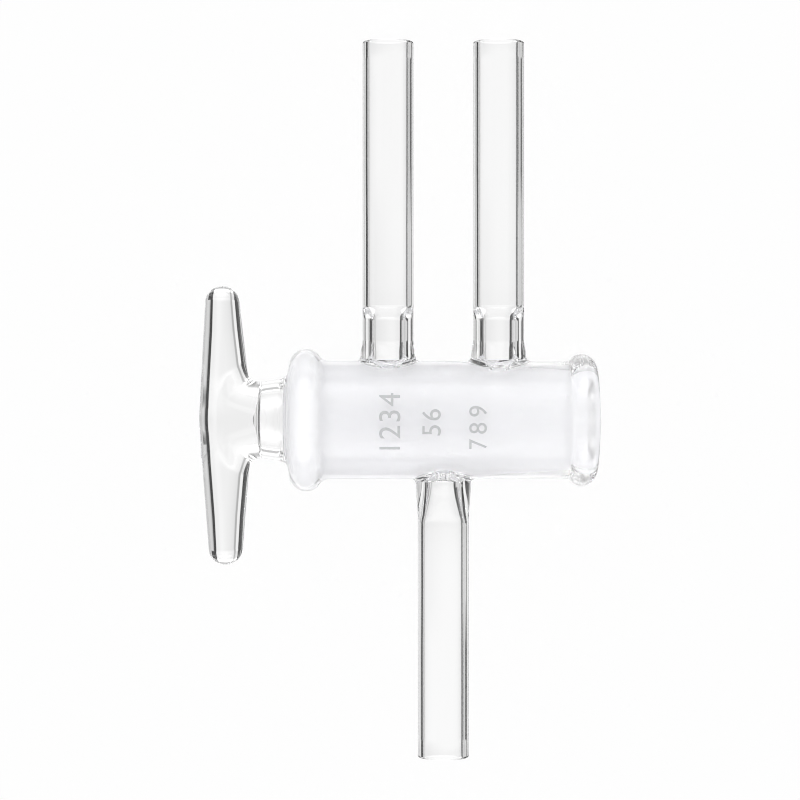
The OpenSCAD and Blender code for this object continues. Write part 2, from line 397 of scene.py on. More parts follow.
@dataclass(frozen=True)
class Window:
    """A rectangle of cells left open in a round skin, where an arm or a bore joins it.

    Attributes:
        row: Middle row.
        half_rows: Rows from the middle to each end.
        half_turns: Columns from the middle to each side.
        side: 1 on the side of the paired arms, -1 on the side of the single arm.
    """

    row: int
    half_rows: int
    half_turns: int
    side: int

    def _columns(self) -> np.ndarray:
        """Column numbers in order of rising Z."""
        middle = 0 if self.side > 0 else TURNS // 2
        return (middle + self.side * np.arange(-self.half_turns, self.half_turns + 1)) % TURNS

    def loop(self, rows: np.ndarray) -> np.ndarray:
        """Point numbers round the window, from its low corner.

        Args:
            rows: Point numbers of the round skin.

        Returns:
            Point numbers in order, each once.
        """
        along = self.row + np.arange(-self.half_rows, self.half_rows + 1)
        across = self._columns()
        return np.concatenate([
            rows[along[0], across[:-1]],
            rows[along[:-1], across[-1]],
            rows[along[-1], across[:0:-1]],
            rows[along[:0:-1], across[0]],
        ])

    def points(self, rings: np.ndarray) -> np.ndarray:
        """Points round the window, from its low corner.

        Args:
            rings: Rings of points of the round skin.

        Returns:
            Points in order, each once.
        """
        numbers = np.arange(len(rings) * TURNS).reshape(-1, TURNS)
        return rings.reshape(-1, 3)[self.loop(numbers)]

    def cells(self, shape: tuple[int, int]) -> np.ndarray:
        """Mask of the cells of a round skin that the window opens.

        Args:
            shape: Rows and columns of the skin's cells.

        Returns:
            True in each open cell.
        """
        mask = np.zeros(shape, bool)
        middle = 0 if self.side > 0 else TURNS // 2
        columns = (middle + np.arange(-self.half_turns, self.half_turns)) % TURNS
        rows = self.row + np.arange(-self.half_rows, self.half_rows)
        mask[np.ix_(rows, columns)] = True
        return mask


@dataclass(frozen=True)
class GroundTaper:
    """The ground joint between plug and barrel.

    Attributes:
        diameter: Diameter of the plug where the single arm's axis crosses it.
        run: Length in which the diameter grows by one.
        grease_gap: Radial gap for the film of grease.
    """

    diameter: float = 17.0
    run: float = 10.0
    grease_gap: float = 0.04

    def plug_r(self, x: np.ndarray | float) -> np.ndarray | float:
        """Radius of the plug at a place along the axis."""
        return self.diameter / 2 - x / (2 * self.run)

    def seat_r(self, x: np.ndarray | float) -> np.ndarray | float:
        """Radius of the seat at a place along the axis."""
        return self.plug_r(x) + self.grease_gap


# ---------------------------------------------------------------- barrel


@dataclass(frozen=True)
class Bead:
    """A bead rolled on the barrel's end.

    Attributes:
        x: Middle of the bead along the barrel.
        diameter: Outside diameter.
        r: Radius of the rolled glass.
        hollow_r: Radius of the hollow between the bead and the tube.
        side: 1 at the far mouth, -1 at the handle.
    """

    x: float
    diameter: float
    r: float
    hollow_r: float
    side: int

    def profile(self, barrel_r: float, taper: GroundTaper) -> np.ndarray:
        """Profile from the seat's edge over the bead and down its hollow to the tube.

        Args:
            barrel_r: Radius of the tube.
            taper: The ground seat.

        Returns:
            One row of place and radius for each point, from the mouth inward.
        """
        ring_r = self.diameter / 2 - self.r
        slope = -self.side / (2 * taper.run)
        height = taper.seat_r(self.x) - ring_r
        a, b, c = 1 + slope ** 2, 2 * slope * height, height ** 2 - self.r ** 2
        edge = (-b + math.sqrt(b * b - 4 * a * c)) / (2 * a)
        start = math.degrees(math.atan2(height + slope * edge, edge))
        rise = barrel_r + self.hollow_r - ring_r
        reach = self.r + self.hollow_r
        back = math.sqrt(reach ** 2 - rise ** 2)
        meet = 180 - math.degrees(math.atan2(rise, back))
        steps = round(math.radians(180 - meet) * self.hollow_r / HOLLOW_STEP) + 6
        bead = arc((0, ring_r), self.r, start, meet, 40)
        hollow = arc((-back, ring_r + rise), self.hollow_r, meet - 180, -90, steps)
        points = np.concatenate([bead, hollow[1:]])
        points[:, 0] = self.x + self.side * points[:, 0]
        return points


@dataclass(frozen=True)
class Arm:
    """A side arm of drawn tube, with its thick root and the seal that fuses it to the barrel.

    Attributes:
        x: Place of its axis along the barrel.
        side: 1 for a paired arm, -1 for the single arm.
        reach: From the barrel's axis to its end.
        root_length: Length over which the root narrows to the arm.
        shoulder_at: From the barrel's axis to where the wide bore ends.
        root_bore_r: Radius of the bore below the step, in the thick root.
        narrow_at: From the barrel's axis to where the bore starts to narrow to the plug's.
        narrow_length: Length over which it narrows.
        arm_r: Outside radius.
        wall: Wall of the arm.
        end_r: Radius that the flame left on the cut end.
        root_r: Radius of the root.
        bore_r: Radius of the narrow bore.
        shoulder_length: Length of the step from the wide bore to the root's.
        seal_size: Width of the fused seal.
    """

    x: float
    side: int
    reach: float
    root_length: float
    shoulder_at: float
    root_bore_r: float
    narrow_at: float
    narrow_length: float
    arm_r: float = 5.0
    wall: float = 1.0
    end_r: float = 0.35
    root_r: float = 5.38
    bore_r: float = 2.0
    shoulder_length: float = 3.2
    seal_size: float = 1.2

    def _place(self, u: np.ndarray, w: np.ndarray, h: np.ndarray) -> np.ndarray:
        """Points from their offsets along and across the barrel, and their height along the arm."""
        u, w, h = np.broadcast_arrays(u, w, h)
        return np.stack([self.x + u, self.side * h, w], axis=-1)

    def outside(self, plan: np.ndarray, barrel_r: float) -> np.ndarray:
        """Rings from the window in the barrel's outside up to the cut end.

        Args:
            plan: Offsets (along, across) of the window's points from the arm's axis.
            barrel_r: Radius of the barrel.

        Returns:
            Rings of points.
        """
        turn = np.arctan2(plan[:, 1], plan[:, 0])
        cos, sin = np.cos(turn), np.sin(turn)

        def on_barrel(r: np.ndarray | float) -> np.ndarray:
            """Height of the barrel's surface at a radius from the arm's axis."""
            return np.sqrt(barrel_r ** 2 - (r * sin) ** 2)

        # The barrel's round surface, from the window to the foot of the seal
        foot_r = self.root_r + self.seal_size
        rings = []
        for share in (0.25, 0.5, 0.75):
            u = (1 - share) * plan[:, 0] + share * foot_r * cos
            w = (1 - share) * plan[:, 1] + share * foot_r * sin
            rings.append(self._place(u, w, np.sqrt(barrel_r ** 2 - w ** 2)))
        # The seal, a curve that leaves the barrel along its surface and ends along the root
        foot_h = on_barrel(foot_r)
        fall = -foot_r * sin ** 2 / foot_h
        corner_h = foot_h + fall * (self.root_r - foot_r)
        top_h = corner_h + self.seal_size
        for t in np.linspace(0, 1, BEND_RINGS):
            r = (1 - t) ** 2 * foot_r + (2 * t * (1 - t) + t * t) * self.root_r
            h = (1 - t) ** 2 * foot_h + 2 * t * (1 - t) * corner_h + t * t * top_h
            rings.append(self._place(r * cos, r * sin, h))
        # The root, the straight tube, and the edge that the flame rounded
        narrow_h = barrel_r + self.root_length
        for t in np.linspace(0, 1, BEND_RINGS + 1)[1:]:
            h = (1 - t) * top_h + t * narrow_h
            r = self.root_r - (self.root_r - self.arm_r) * smooth_share(t)
            rings.append(self._place(r * cos, r * sin, h))
        end_h = self.reach - self.end_r
        for h in spaced(narrow_h, end_h, TUBE_STEP)[1:]:
            rings.append(self._place(self.arm_r * cos, self.arm_r * sin, h))
        for a in np.radians(np.linspace(0, 90, END_RINGS))[1:]:
            r = self.arm_r - self.end_r + self.end_r * math.cos(a)
            rings.append(self._place(r * cos, r * sin, end_h + self.end_r * math.sin(a)))
        return np.array(rings)

    def inside(self, plan: np.ndarray, taper: GroundTaper) -> tuple[np.ndarray, np.ndarray]:
        """Rings from the cut end down the bore to the window in the seat.

        Args:
            plan: Offsets (along, across) of the seat window's points from the arm's axis.
            taper: The ground seat.

        Returns:
            The rings of the bore, and those that lie on the ground seat.
        """
        turn = np.arctan2(plan[:, 1], plan[:, 0])
        cos, sin = np.cos(turn), np.sin(turn)
        bore_r = self.arm_r - self.wall
        end_h = self.reach - self.end_r
        bore = []
        for a in np.radians(np.linspace(90, 0, END_RINGS)):
            r = bore_r + self.end_r - self.end_r * math.cos(a)
            bore.append(self._place(r * cos, r * sin, end_h + self.end_r * math.sin(a)))
        for h in spaced(end_h, self.shoulder_at, TUBE_STEP)[1:]:
            bore.append(self._place(bore_r * cos, bore_r * sin, h))
        step_h = self.shoulder_at - self.shoulder_length
        narrow_h = self.narrow_at - self.narrow_length
        for start, end, wide_r, thin_r, count in (
            (self.shoulder_at, step_h, bore_r, self.root_bore_r, BEND_RINGS + 4),
            (step_h, self.narrow_at, self.root_bore_r, self.root_bore_r, 4),
            (self.narrow_at, narrow_h, self.root_bore_r, self.bore_r, BEND_RINGS),
        ):
            for t in np.linspace(0, 1, count)[1:]:
                r = wide_r - (wide_r - thin_r) * soft_ramp(t)
                bore.append(self._place(r * cos, r * sin, start + t * (end - start)))

        def on_seat(u: np.ndarray, w: np.ndarray) -> np.ndarray:
            """Height of the seat at offsets along the barrel and across it."""
            return np.sqrt(taper.seat_r(self.x + u) ** 2 - w ** 2)

        low_h = on_seat(self.bore_r * cos, self.bore_r * sin)
        for t in np.linspace(0, 1, WEB_RINGS)[1:]:
            h = narrow_h + t * (low_h - narrow_h)
            bore.append(self._place(self.bore_r * cos, self.bore_r * sin, h))
        seat = []
        for share in np.linspace(0, 1, WEB_RINGS)[1:-1]:
            u = share * plan[:, 0] + (1 - share) * self.bore_r * cos
            w = share * plan[:, 1] + (1 - share) * self.bore_r * sin
            seat.append(self._place(u, w, on_seat(u, w)))
        return np.array(bore), np.array(seat)


@dataclass(frozen=True)
class Barrel:
    """Barrel with its three arms, blown and fused as one piece of borosilicate glass.

    Attributes:
        r: Outside radius of the tube.
        arm_spacing: Distance between the axes of the paired arms.
        cells: Cells of the skin in that distance.
        half_window: Cells from an arm's axis to the edge of its window.
        taper: The ground seat.
        beads: The beads at the handle and at the far mouth.
        arms: The paired arms and the single one.
    """

    r: float = 11.55
    arm_spacing: float = 21.66
    cells: int = 36
    half_window: int = 14
    taper: GroundTaper = GroundTaper()
    beads: tuple[Bead, Bead] = (
        Bead(-26.9, 27.96, 3.23, 2.6, -1),
        Bead(27.04, 25.88, 2.99, 0.35, 1),
    )
    arms: tuple[Arm, ...] = (
        Arm(-10.83, 1, 74.1, 4.4, 22.5, 3.04, 11.7, 1.7),
        Arm(10.83, 1, 74.1, 4.4, 22.5, 3.04, 11.7, 1.7),
        Arm(0.0, -1, 66.05, 8.4, 21.0, 2.9, 12.1, 1.9, shoulder_length=8.8),
    )

    def _places(self, start: float, end: float) -> tuple[np.ndarray, int]:
        """Places of the skin's rows from start to end, and the row of the single arm's axis."""
        half = self.cells // 2 + self.half_window
        return even_places(start, end, self.arm_spacing / self.cells, half)

    def _windows(self, middle_row: int) -> list[Window]:
        """Windows of the arms in a skin.

        Args:
            middle_row: Row of the single arm's axis.

        Returns:
            The windows, in the arms' order.
        """
        cell = self.arm_spacing / self.cells
        return [
            Window(middle_row + round(arm.x / cell), self.half_window, self.half_window, arm.side)
            for arm in self.arms
        ]

    def build(self) -> Skin:
        """Makes the skin of the barrel.

        Returns:
            The closed skin.
        """
        skin = Skin()
        near = self.beads[0].profile(self.r, self.taper)
        far = self.beads[1].profile(self.r, self.taper)[::-1]
        places, middle = self._places(near[-1, 0], far[0, 0])
        tube = np.stack([places, np.full(len(places), self.r)], axis=-1)
        profile = np.concatenate([near[:-1], tube, far[1:]])
        outer = turned(profile)
        outer_rows = skin.add(outer)
        outer_windows = self._windows(middle + len(near) - 1)

        places, middle = self._places(near[0, 0], far[-1, 0])
        seat = turned(np.stack([places, self.taper.seat_r(places)], axis=-1))
        seat_rows = np.concatenate([outer_rows[:1], skin.add(seat[1:-1]), outer_rows[-1:]])
        seat_windows = self._windows(middle)

        for rows, windows, finish in (
            (outer_rows, outer_windows, Finish.CLEAR),
            (seat_rows, seat_windows, Finish.GROUND),
        ):
            shape = (len(rows) - 1, TURNS)
            skin.weave(rows, finish, np.any([w.cells(shape) for w in windows], axis=0))

        for arm, outer_window, seat_window in zip(self.arms, outer_windows, seat_windows):
            bore, ground = arm.inside(seat_window.points(seat)[:, [0, 2]] - (arm.x, 0), self.taper)
            out = skin.add(arm.outside(outer_window.points(outer)[:, [0, 2]] - (arm.x, 0), self.r))
            bore = skin.add(bore)
            ground = skin.add(ground)
            rim = outer_window.loop(outer_rows)[None]
            skin.weave(np.concatenate([rim, out, bore]), Finish.CLEAR)
            rim = seat_window.loop(seat_rows)[None]
            skin.weave(np.concatenate([bore[-1:], ground, rim]), Finish.GROUND)
        return skin


@dataclass(frozen=True)
class PortNumbers:
    """Plain numbers printed round the barrel, to be read with the handle on the upper side.

    Attributes:
        digits: The digits.
        x: Their middle along the barrel.
        around: Their middle round the barrel, in millimetres from its top towards the paired arms.
        height: Height of a digit, along the barrel.
        spacing: Spacing of the digits, where 1 is the font's own.
        sunk: How deep the enamel is fired into the glass.
        proud: How far it stands proud of the glass.
        digit_share: Height of a digit in the font, as a share of its size.
        slice: Width of the slices that let the digits bend.
    """

    digits: str
    x: float
    around: float
    height: float
    spacing: float
    sunk: float = 0.01
    proud: float = 0.02
    digit_share: float = 0.7
    slice: float = 0.4

    def _flat(self) -> bmesh.types.BMesh:
        """Makes the digits as flat faces, cut narrow enough to bend round the barrel.

        Returns:
            The faces, which read along X.
        """
        curve = bpy.data.curves.new("digits", "FONT")
        curve.body = self.digits
        curve.align_x, curve.align_y = "CENTER", "CENTER"
        curve.size = self.height / self.digit_share
        curve.space_character = self.spacing
        curve.resolution_u = 6
        flat = bpy.data.objects.new("digits", curve)
        bpy.context.scene.collection.objects.link(flat)
        seen = flat.evaluated_get(bpy.context.evaluated_depsgraph_get())
        mesh = bpy.data.meshes.new_from_object(seen)
        bpy.data.objects.remove(flat)
        work = bmesh.new()
        work.from_mesh(mesh)
        bpy.data.meshes.remove(mesh)
        bmesh.ops.remove_doubles(work, verts=work.verts, dist=1e-4)
        reach = max(abs(v.co.x) for v in work.verts)
        for cut in np.arange(-reach, reach, self.slice):
            geometry = work.verts[:] + work.edges[:] + work.faces[:]
            bmesh.ops.bisect_plane(work, geom=geometry, plane_co=(cut, 0, 0), plane_no=(1, 0, 0))
        return work

    def build(self, barrel_r: float) -> tuple[np.ndarray, list[list[int]]]:
        """Bends the digits round the barrel and gives them their thickness.

        Args:
            barrel_r: Outside radius of the barrel.

        Returns:
            Points and faces of closed solids.
        """
        work = self._flat()
        work.verts.index_update()
        flat = np.array([v.co for v in work.verts])
        turn = (self.around + flat[:, 0]) / barrel_r
        x = self.x - flat[:, 1]
        layers = []
        for r in (barrel_r - self.sunk, barrel_r + self.proud):
            layers.append(np.stack([x, r * np.sin(turn), r * np.cos(turn)], axis=-1))
        count = len(flat)
        faces = []
        for face in work.faces:
            ring = [v.index for v in face.verts]
            faces.append(ring[::-1])
            faces.append([i + count for i in ring])
        for edge in work.edges:
            if len(edge.link_faces) == 1:
                a, b = (v.index for v in edge.verts)
                faces.append([a, b, b + count, a + count])
        work.free()
        return np.concatenate(layers), faces

    def to_object(self, name: str, barrel_r: float, axes: BarrelAxes, enamel: Material) -> Object:
        """Makes the mesh object of the print.

        Args:
            name: The piece's name.
            barrel_r: Outside radius of the barrel.
            axes: The barrel's axes.
            enamel: Its material.

        Returns:
            The object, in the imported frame.
        """
        points, faces = self.build(barrel_r)
        mesh = bpy.data.meshes.new(name)
        mesh.from_pydata(points.tolist(), [], faces)
        mesh.materials.append(enamel)
        mesh.transform(axes.to_frame())
        work = bmesh.new()
        work.from_mesh(mesh)
        bmesh.ops.recalc_face_normals(work, faces=work.faces)
        work.to_mesh(mesh)
        work.free()
        made = bpy.data.objects.new(name, mesh)
        bpy.context.scene.collection.objects.link(made)
        return made


PORT_NUMBERS = (
    PortNumbers("1234", -10.2, -0.7, 4.1, 1.1),
    PortNumbers("56", -2.25, -0.4, 3.6, 1.15),
    PortNumbers("789", 6.65, -1.5, 3.4, 1.35),
)


# ---------------------------------------------------------------- handle


@dataclass(frozen=True)
class Handle:
    """T handle pressed solid, with the fillet that carries it on the plug's neck.

    Attributes:
        x: Middle of the handle along the plug.
        w: Width at its middle, along the plug.
        t: Thickness at its middle.
        end_w: Width at its ends.
        end_t: Thickness at its ends.
        round_w: Width of the rounded side, half of an ellipse as high as the bar.
        skew: How far the bar's middle line lies off towards the neck, where its side stands out
            twice as far.
        end_edge_r: Radius of its ends in the plane of the arms.
        reach_paired: Reach on the side of the paired arms.
        reach_single: Reach on the side of the single arm.
        lean: Angle in degrees by which it was set askew.
        swell: Height by which each face swells at its middle.
        swell_reach: Reach of that swelling to both sides.
        taper_soft: Length over which the taper to the ends sets in at the middle.
        rise_from: Where the faces start to rise to the neck, from the handle's middle.
        rise_to: Where they have become the round neck.
        rise_soft: Share of that way that is soft at each end.
        rise_reach: Reach of the rising faces to both sides where they start.
        rise_spread: How much further they reach where they are the round neck.
        rise_fall: Length over which they fall off beyond that reach.
        neck_short: How far the neck's form stops short of the handle's outer side.
        fillet: Size of the soft meeting of handle and neck.
        fillet_run: Length over which that meeting grows, from the handle's middle to the neck.
        cell: Size of the cells in which its skin is found.
        box_t: Half the thickness of the box in which it is found.
        margin: How far that box reaches beyond the handle at its sides.
    """

    x: float = -43.0
    w: float = 9.66
    t: float = 7.8
    end_w: float = 6.5
    end_t: float = 6.4
    round_w: float = 3.75
    skew: float = 0.38
    end_edge_r: float = 3.1
    reach_paired: float = 26.3
    reach_single: float = 28.4
    lean: float = 0.8
    swell: float = 0.3
    swell_reach: float = 6.0
    taper_soft: float = 1.5
    rise_from: float = -1.8
    rise_to: float = 9.1
    rise_soft: float = 0.12
    rise_reach: float = 2.0
    rise_spread: float = 5.8
    rise_fall: float = 6.5
    neck_short: float = 0.3
    fillet: float = 3.2
    fillet_run: float = 3.0
    cell: float = 0.5
    box_t: float = 9.0
    margin: float = 1.0

    def _share(self, y: np.ndarray) -> np.ndarray:
        """Share of the way from the handle's middle to its end, at a place along it."""
        reach = np.where(y > 0, self.reach_paired, self.reach_single) - self.end_edge_r
        return (np.sqrt(y * y + self.taper_soft ** 2) - self.taper_soft) / reach

    def _outline(
        self, p: np.ndarray, y: np.ndarray, share: np.ndarray, r: np.ndarray
    ) -> np.ndarray:
        """Distance to the outline in the plane of the arms, filleted where the neck joins.

        Args:
            p: Points from the handle's middle.
            y: Place along the handle, which stands a little askew.
            share: Share of the way to the handle's end.
            r: Radius of the neck.

        Returns:
            One distance for each point, negative inside.
        """
        a = math.radians(self.lean)
        skew = self.skew * np.clip(1 - share, 0, 1)
        x = p[..., 0] * math.cos(a) + p[..., 1] * math.sin(a) - skew
        corner = self.end_edge_r
        half_w = self.w / 2 + (self.end_w - self.w) / 2 * share - corner + skew
        reach = np.where(y > 0, self.reach_paired, self.reach_single) - corner
        over_x, over_y = np.abs(x) - half_w, np.abs(y) - reach
        beyond = np.hypot(np.maximum(over_x, 0), np.maximum(over_y, 0))
        bar = beyond + np.minimum(np.maximum(over_x, over_y), 0) - corner
        neck = np.maximum(np.abs(p[..., 1]) - r, -p[..., 0] - self.w / 2 + self.neck_short)
        # A cubic blend of both forms, whose size never quite falls to zero
        size = self.fillet * smooth_share(p[..., 0] / self.fillet_run) + 1e-6
        h = np.maximum(size - np.abs(bar - neck), 0) / size
        return np.minimum(bar, neck) - h ** 3 * size / 6

    def distance(self, points: np.ndarray, neck: ByPlace) -> np.ndarray:
        """Distance to the handle, which rounds off towards its outline and swells into the neck.

        Args:
            points: Points in the barrel's axes.
            neck: Radius of the neck by place.

        Returns:
            One distance for each point, negative in the glass.
        """
        p = points - (self.x, 0, 0)
        a = math.radians(self.lean)
        y = p[..., 1] * math.cos(a) - p[..., 0] * math.sin(a)
        share = self._share(y)
        r = neck(self.x + p[..., 0])
        swollen = np.exp(-((y / self.swell_reach) ** 2))
        half_t = self.t / 2 + (self.end_t - self.t) / 2 * share + self.swell * swollen
        round_w = np.minimum(self.round_w, (self.w + (self.end_w - self.w) * share) / 2)
        rise = (p[..., 0] - self.rise_from) / (self.rise_to - self.rise_from)
        rise = soft_ramp(rise, self.rise_soft)
        beyond = np.abs(y) - self.rise_reach - self.rise_spread * rise
        rise = rise * (1 - smooth_share(beyond / self.rise_fall))
        half_t = half_t + (r - half_t) * rise
        round_w = round_w + (r - round_w) * rise
        inward = np.maximum(self._outline(p, y, share, r) / round_w + 1, 0)
        return (np.hypot(inward, p[..., 2] / half_t) - 1) * np.minimum(round_w, half_t)

    def build(self, end_x: float, neck: ByPlace) -> "NetSkin":
        """Finds the skin of the handle and its neck up to a place.

        Args:
            end_x: Where the skin ends on the neck.
            neck: Radius of the neck by place.

        Returns:
            The skin, open at the neck.
        """
        start_x = self.x - self.w / 2 - self.margin
        low = np.array([start_x, -self.reach_single - self.margin, -self.box_t])
        high = np.array([end_x, self.reach_paired + self.margin, self.box_t])
        return NetSkin.find(lambda p: self.distance(p, neck), low, high, self.cell)


@dataclass
class NetSkin:
    """A smooth skin found as the zero of a distance, with exact normals.

    Attributes:
        points: Its points.
        normals: Their normals.
        quads: Point numbers of its faces.
        rim: Point numbers of its open rim.
    """

    points: np.ndarray
    normals: np.ndarray
    quads: np.ndarray
    rim: np.ndarray

    @classmethod
    def find(
        cls, distance: ByPlace, low: np.ndarray, high: np.ndarray, cell: float
    ) -> "NetSkin":
        """Finds the skin inside a box.

        Args:
            distance: Distance to the skin, negative inside.
            low: Lowest corner of the box.
            high: Highest corner, where the last row of cells ends along X.
            cell: Size of a cell.

        Returns:
            The skin, open where it leaves the box along X.
        """
        counts = np.ceil((high - low) / cell).astype(int)
        low = np.array([high[0] - counts[0] * cell, low[1], low[2]])
        axes = [low[i] + cell * np.arange(counts[i] + 1) for i in range(3)]
        corners = np.stack(np.meshgrid(*axes, indexing="ij"), axis=-1)
        values = distance(corners)
        sums = np.zeros(tuple(counts) + (3,))
        hits = np.zeros(tuple(counts))
        crossings = []
        for axis in range(3):
            crossed, place = cls._crossings(values, corners, axis, cell)
            others = [i for i in range(3) if i != axis]
            crossings.append((crossed, others))
            for d0, d1 in ((0, 0), (0, 1), (1, 0), (1, 1)):
                source = [slice(None)] * 3
                source[others[0]] = slice(d0, counts[others[0]] + d0)
                source[others[1]] = slice(d1, counts[others[1]] + d1)
                mask = crossed[tuple(source)]
                sums[mask] += place[tuple(source)][mask]
                hits[mask] += 1
        used = hits > 0
        number = np.full(tuple(counts), -1)
        number[used] = np.arange(used.sum())
        points = sums[used] / hits[used][:, None]
        faces = np.concatenate([cls._quads(*crossing, number) for crossing in crossings])
        points = cls._relax(points, faces, distance)
        normals = cls._gradient(points, distance)
        normals /= np.linalg.norm(normals, axis=-1, keepdims=True)
        return cls(points, normals, faces, cls._rim(faces))

    @staticmethod
    def _crossings(
        values: np.ndarray, corners: np.ndarray, axis: int, cell: float
    ) -> tuple[np.ndarray, np.ndarray]:
        """Finds the edges of the cells along one axis that the skin crosses.

        Args:
            values: Distance at each corner.
            corners: The corners of the cells.
            axis: The axis.
            cell: Size of a cell.

        Returns:
            True for each edge crossed, and where the skin crosses it.
        """
        ahead, behind = [slice(None)] * 3, [slice(None)] * 3
        ahead[axis], behind[axis] = slice(1, None), slice(None, -1)
        v0, v1 = values[tuple(behind)], values[tuple(ahead)]
        crossed = (v0 < 0) != (v1 < 0)
        share = np.where(crossed, v0 / np.where(crossed, v0 - v1, 1), 0)
        place = corners[tuple(behind)].copy()
        place[..., axis] += share * cell
        return crossed, place

    @staticmethod
    def _quads(crossed: np.ndarray, others: list[int], number: np.ndarray) -> np.ndarray:
        """Makes a quad round each crossed edge, from the points of the four cells that share it.

        Args:
            crossed: True for each edge along one axis that the skin crosses.
            others: The other two axes.
            number: Point number of each cell.

        Returns:
            Point numbers, one row a quad.
        """
        inner = [slice(None)] * 3
        for i in others:
            inner[i] = slice(1, number.shape[i])
        at = np.argwhere(crossed[tuple(inner)])
        at[:, others] += 1
        ring = []
        for d0, d1 in ((0, 0), (1, 0), (1, 1), (0, 1)):
            cell_at = at.copy()
            cell_at[:, others[0]] -= d0
            cell_at[:, others[1]] -= d1
            ring.append(number[tuple(cell_at.T)])
        return np.stack(ring, axis=-1)

    @staticmethod
    def _gradient(points: np.ndarray, distance: ByPlace) -> np.ndarray:
        """Slope of the distance at each point.

        Args:
            points: The points.
            distance: Distance to the skin.

        Returns:
            One vector for each point.
        """
        step = 0.01
        slope = [
            (distance(points + step * unit) - distance(points - step * unit)) / (2 * step)
            for unit in np.eye(3)
        ]
        return np.stack(slope, axis=-1)

    @classmethod
    def _rim(cls, faces: np.ndarray) -> np.ndarray:
        """Finds the open rim.

        Args:
            faces: Point numbers, one row a quad.

        Returns:
            Numbers of the points on the rim.
        """
        edges, counts = np.unique(cls._sides(faces), axis=0, return_counts=True)
        return np.unique(edges[counts == 1])

    @staticmethod
    def _sides(faces: np.ndarray) -> np.ndarray:
        """Sides of all quads as pairs of point numbers, the lower one first."""
        return np.sort(np.concatenate([faces[:, [i, (i + 1) % 4]] for i in range(4)]), axis=1)

    @classmethod
    def _relax(
        cls, points: np.ndarray, faces: np.ndarray, distance: ByPlace
    ) -> np.ndarray:
        """Evens out the points along the skin and sets them exactly on it.

        Args:
            points: The points as first found.
            faces: Point numbers, one row a quad.
            distance: Distance to the skin.

        Returns:
            The points, with those of the rim set on the skin only.
        """
        edges = np.unique(cls._sides(faces), axis=0)
        fixed = cls._rim(faces)
        # Keeps a step short where the distance hardly changes
        least = 0.05
        for _ in range(EVEN_ROUNDS):
            total = np.zeros_like(points)
            count = np.zeros(len(points))
            for a, b in (edges.T, edges.T[::-1]):
                np.add.at(total, a, points[b])
                np.add.at(count, a, 1)
            moved = points + 0.5 * (total / count[:, None] - points)
            moved[fixed] = points[fixed]
            points = moved
            for _ in range(2):
                slope = cls._gradient(points, distance)
                square = np.maximum((slope ** 2).sum(-1), least)
                points = points - slope * (distance(points) / square)[:, None]
        return points


# ---------------------------------------------------------------- plug


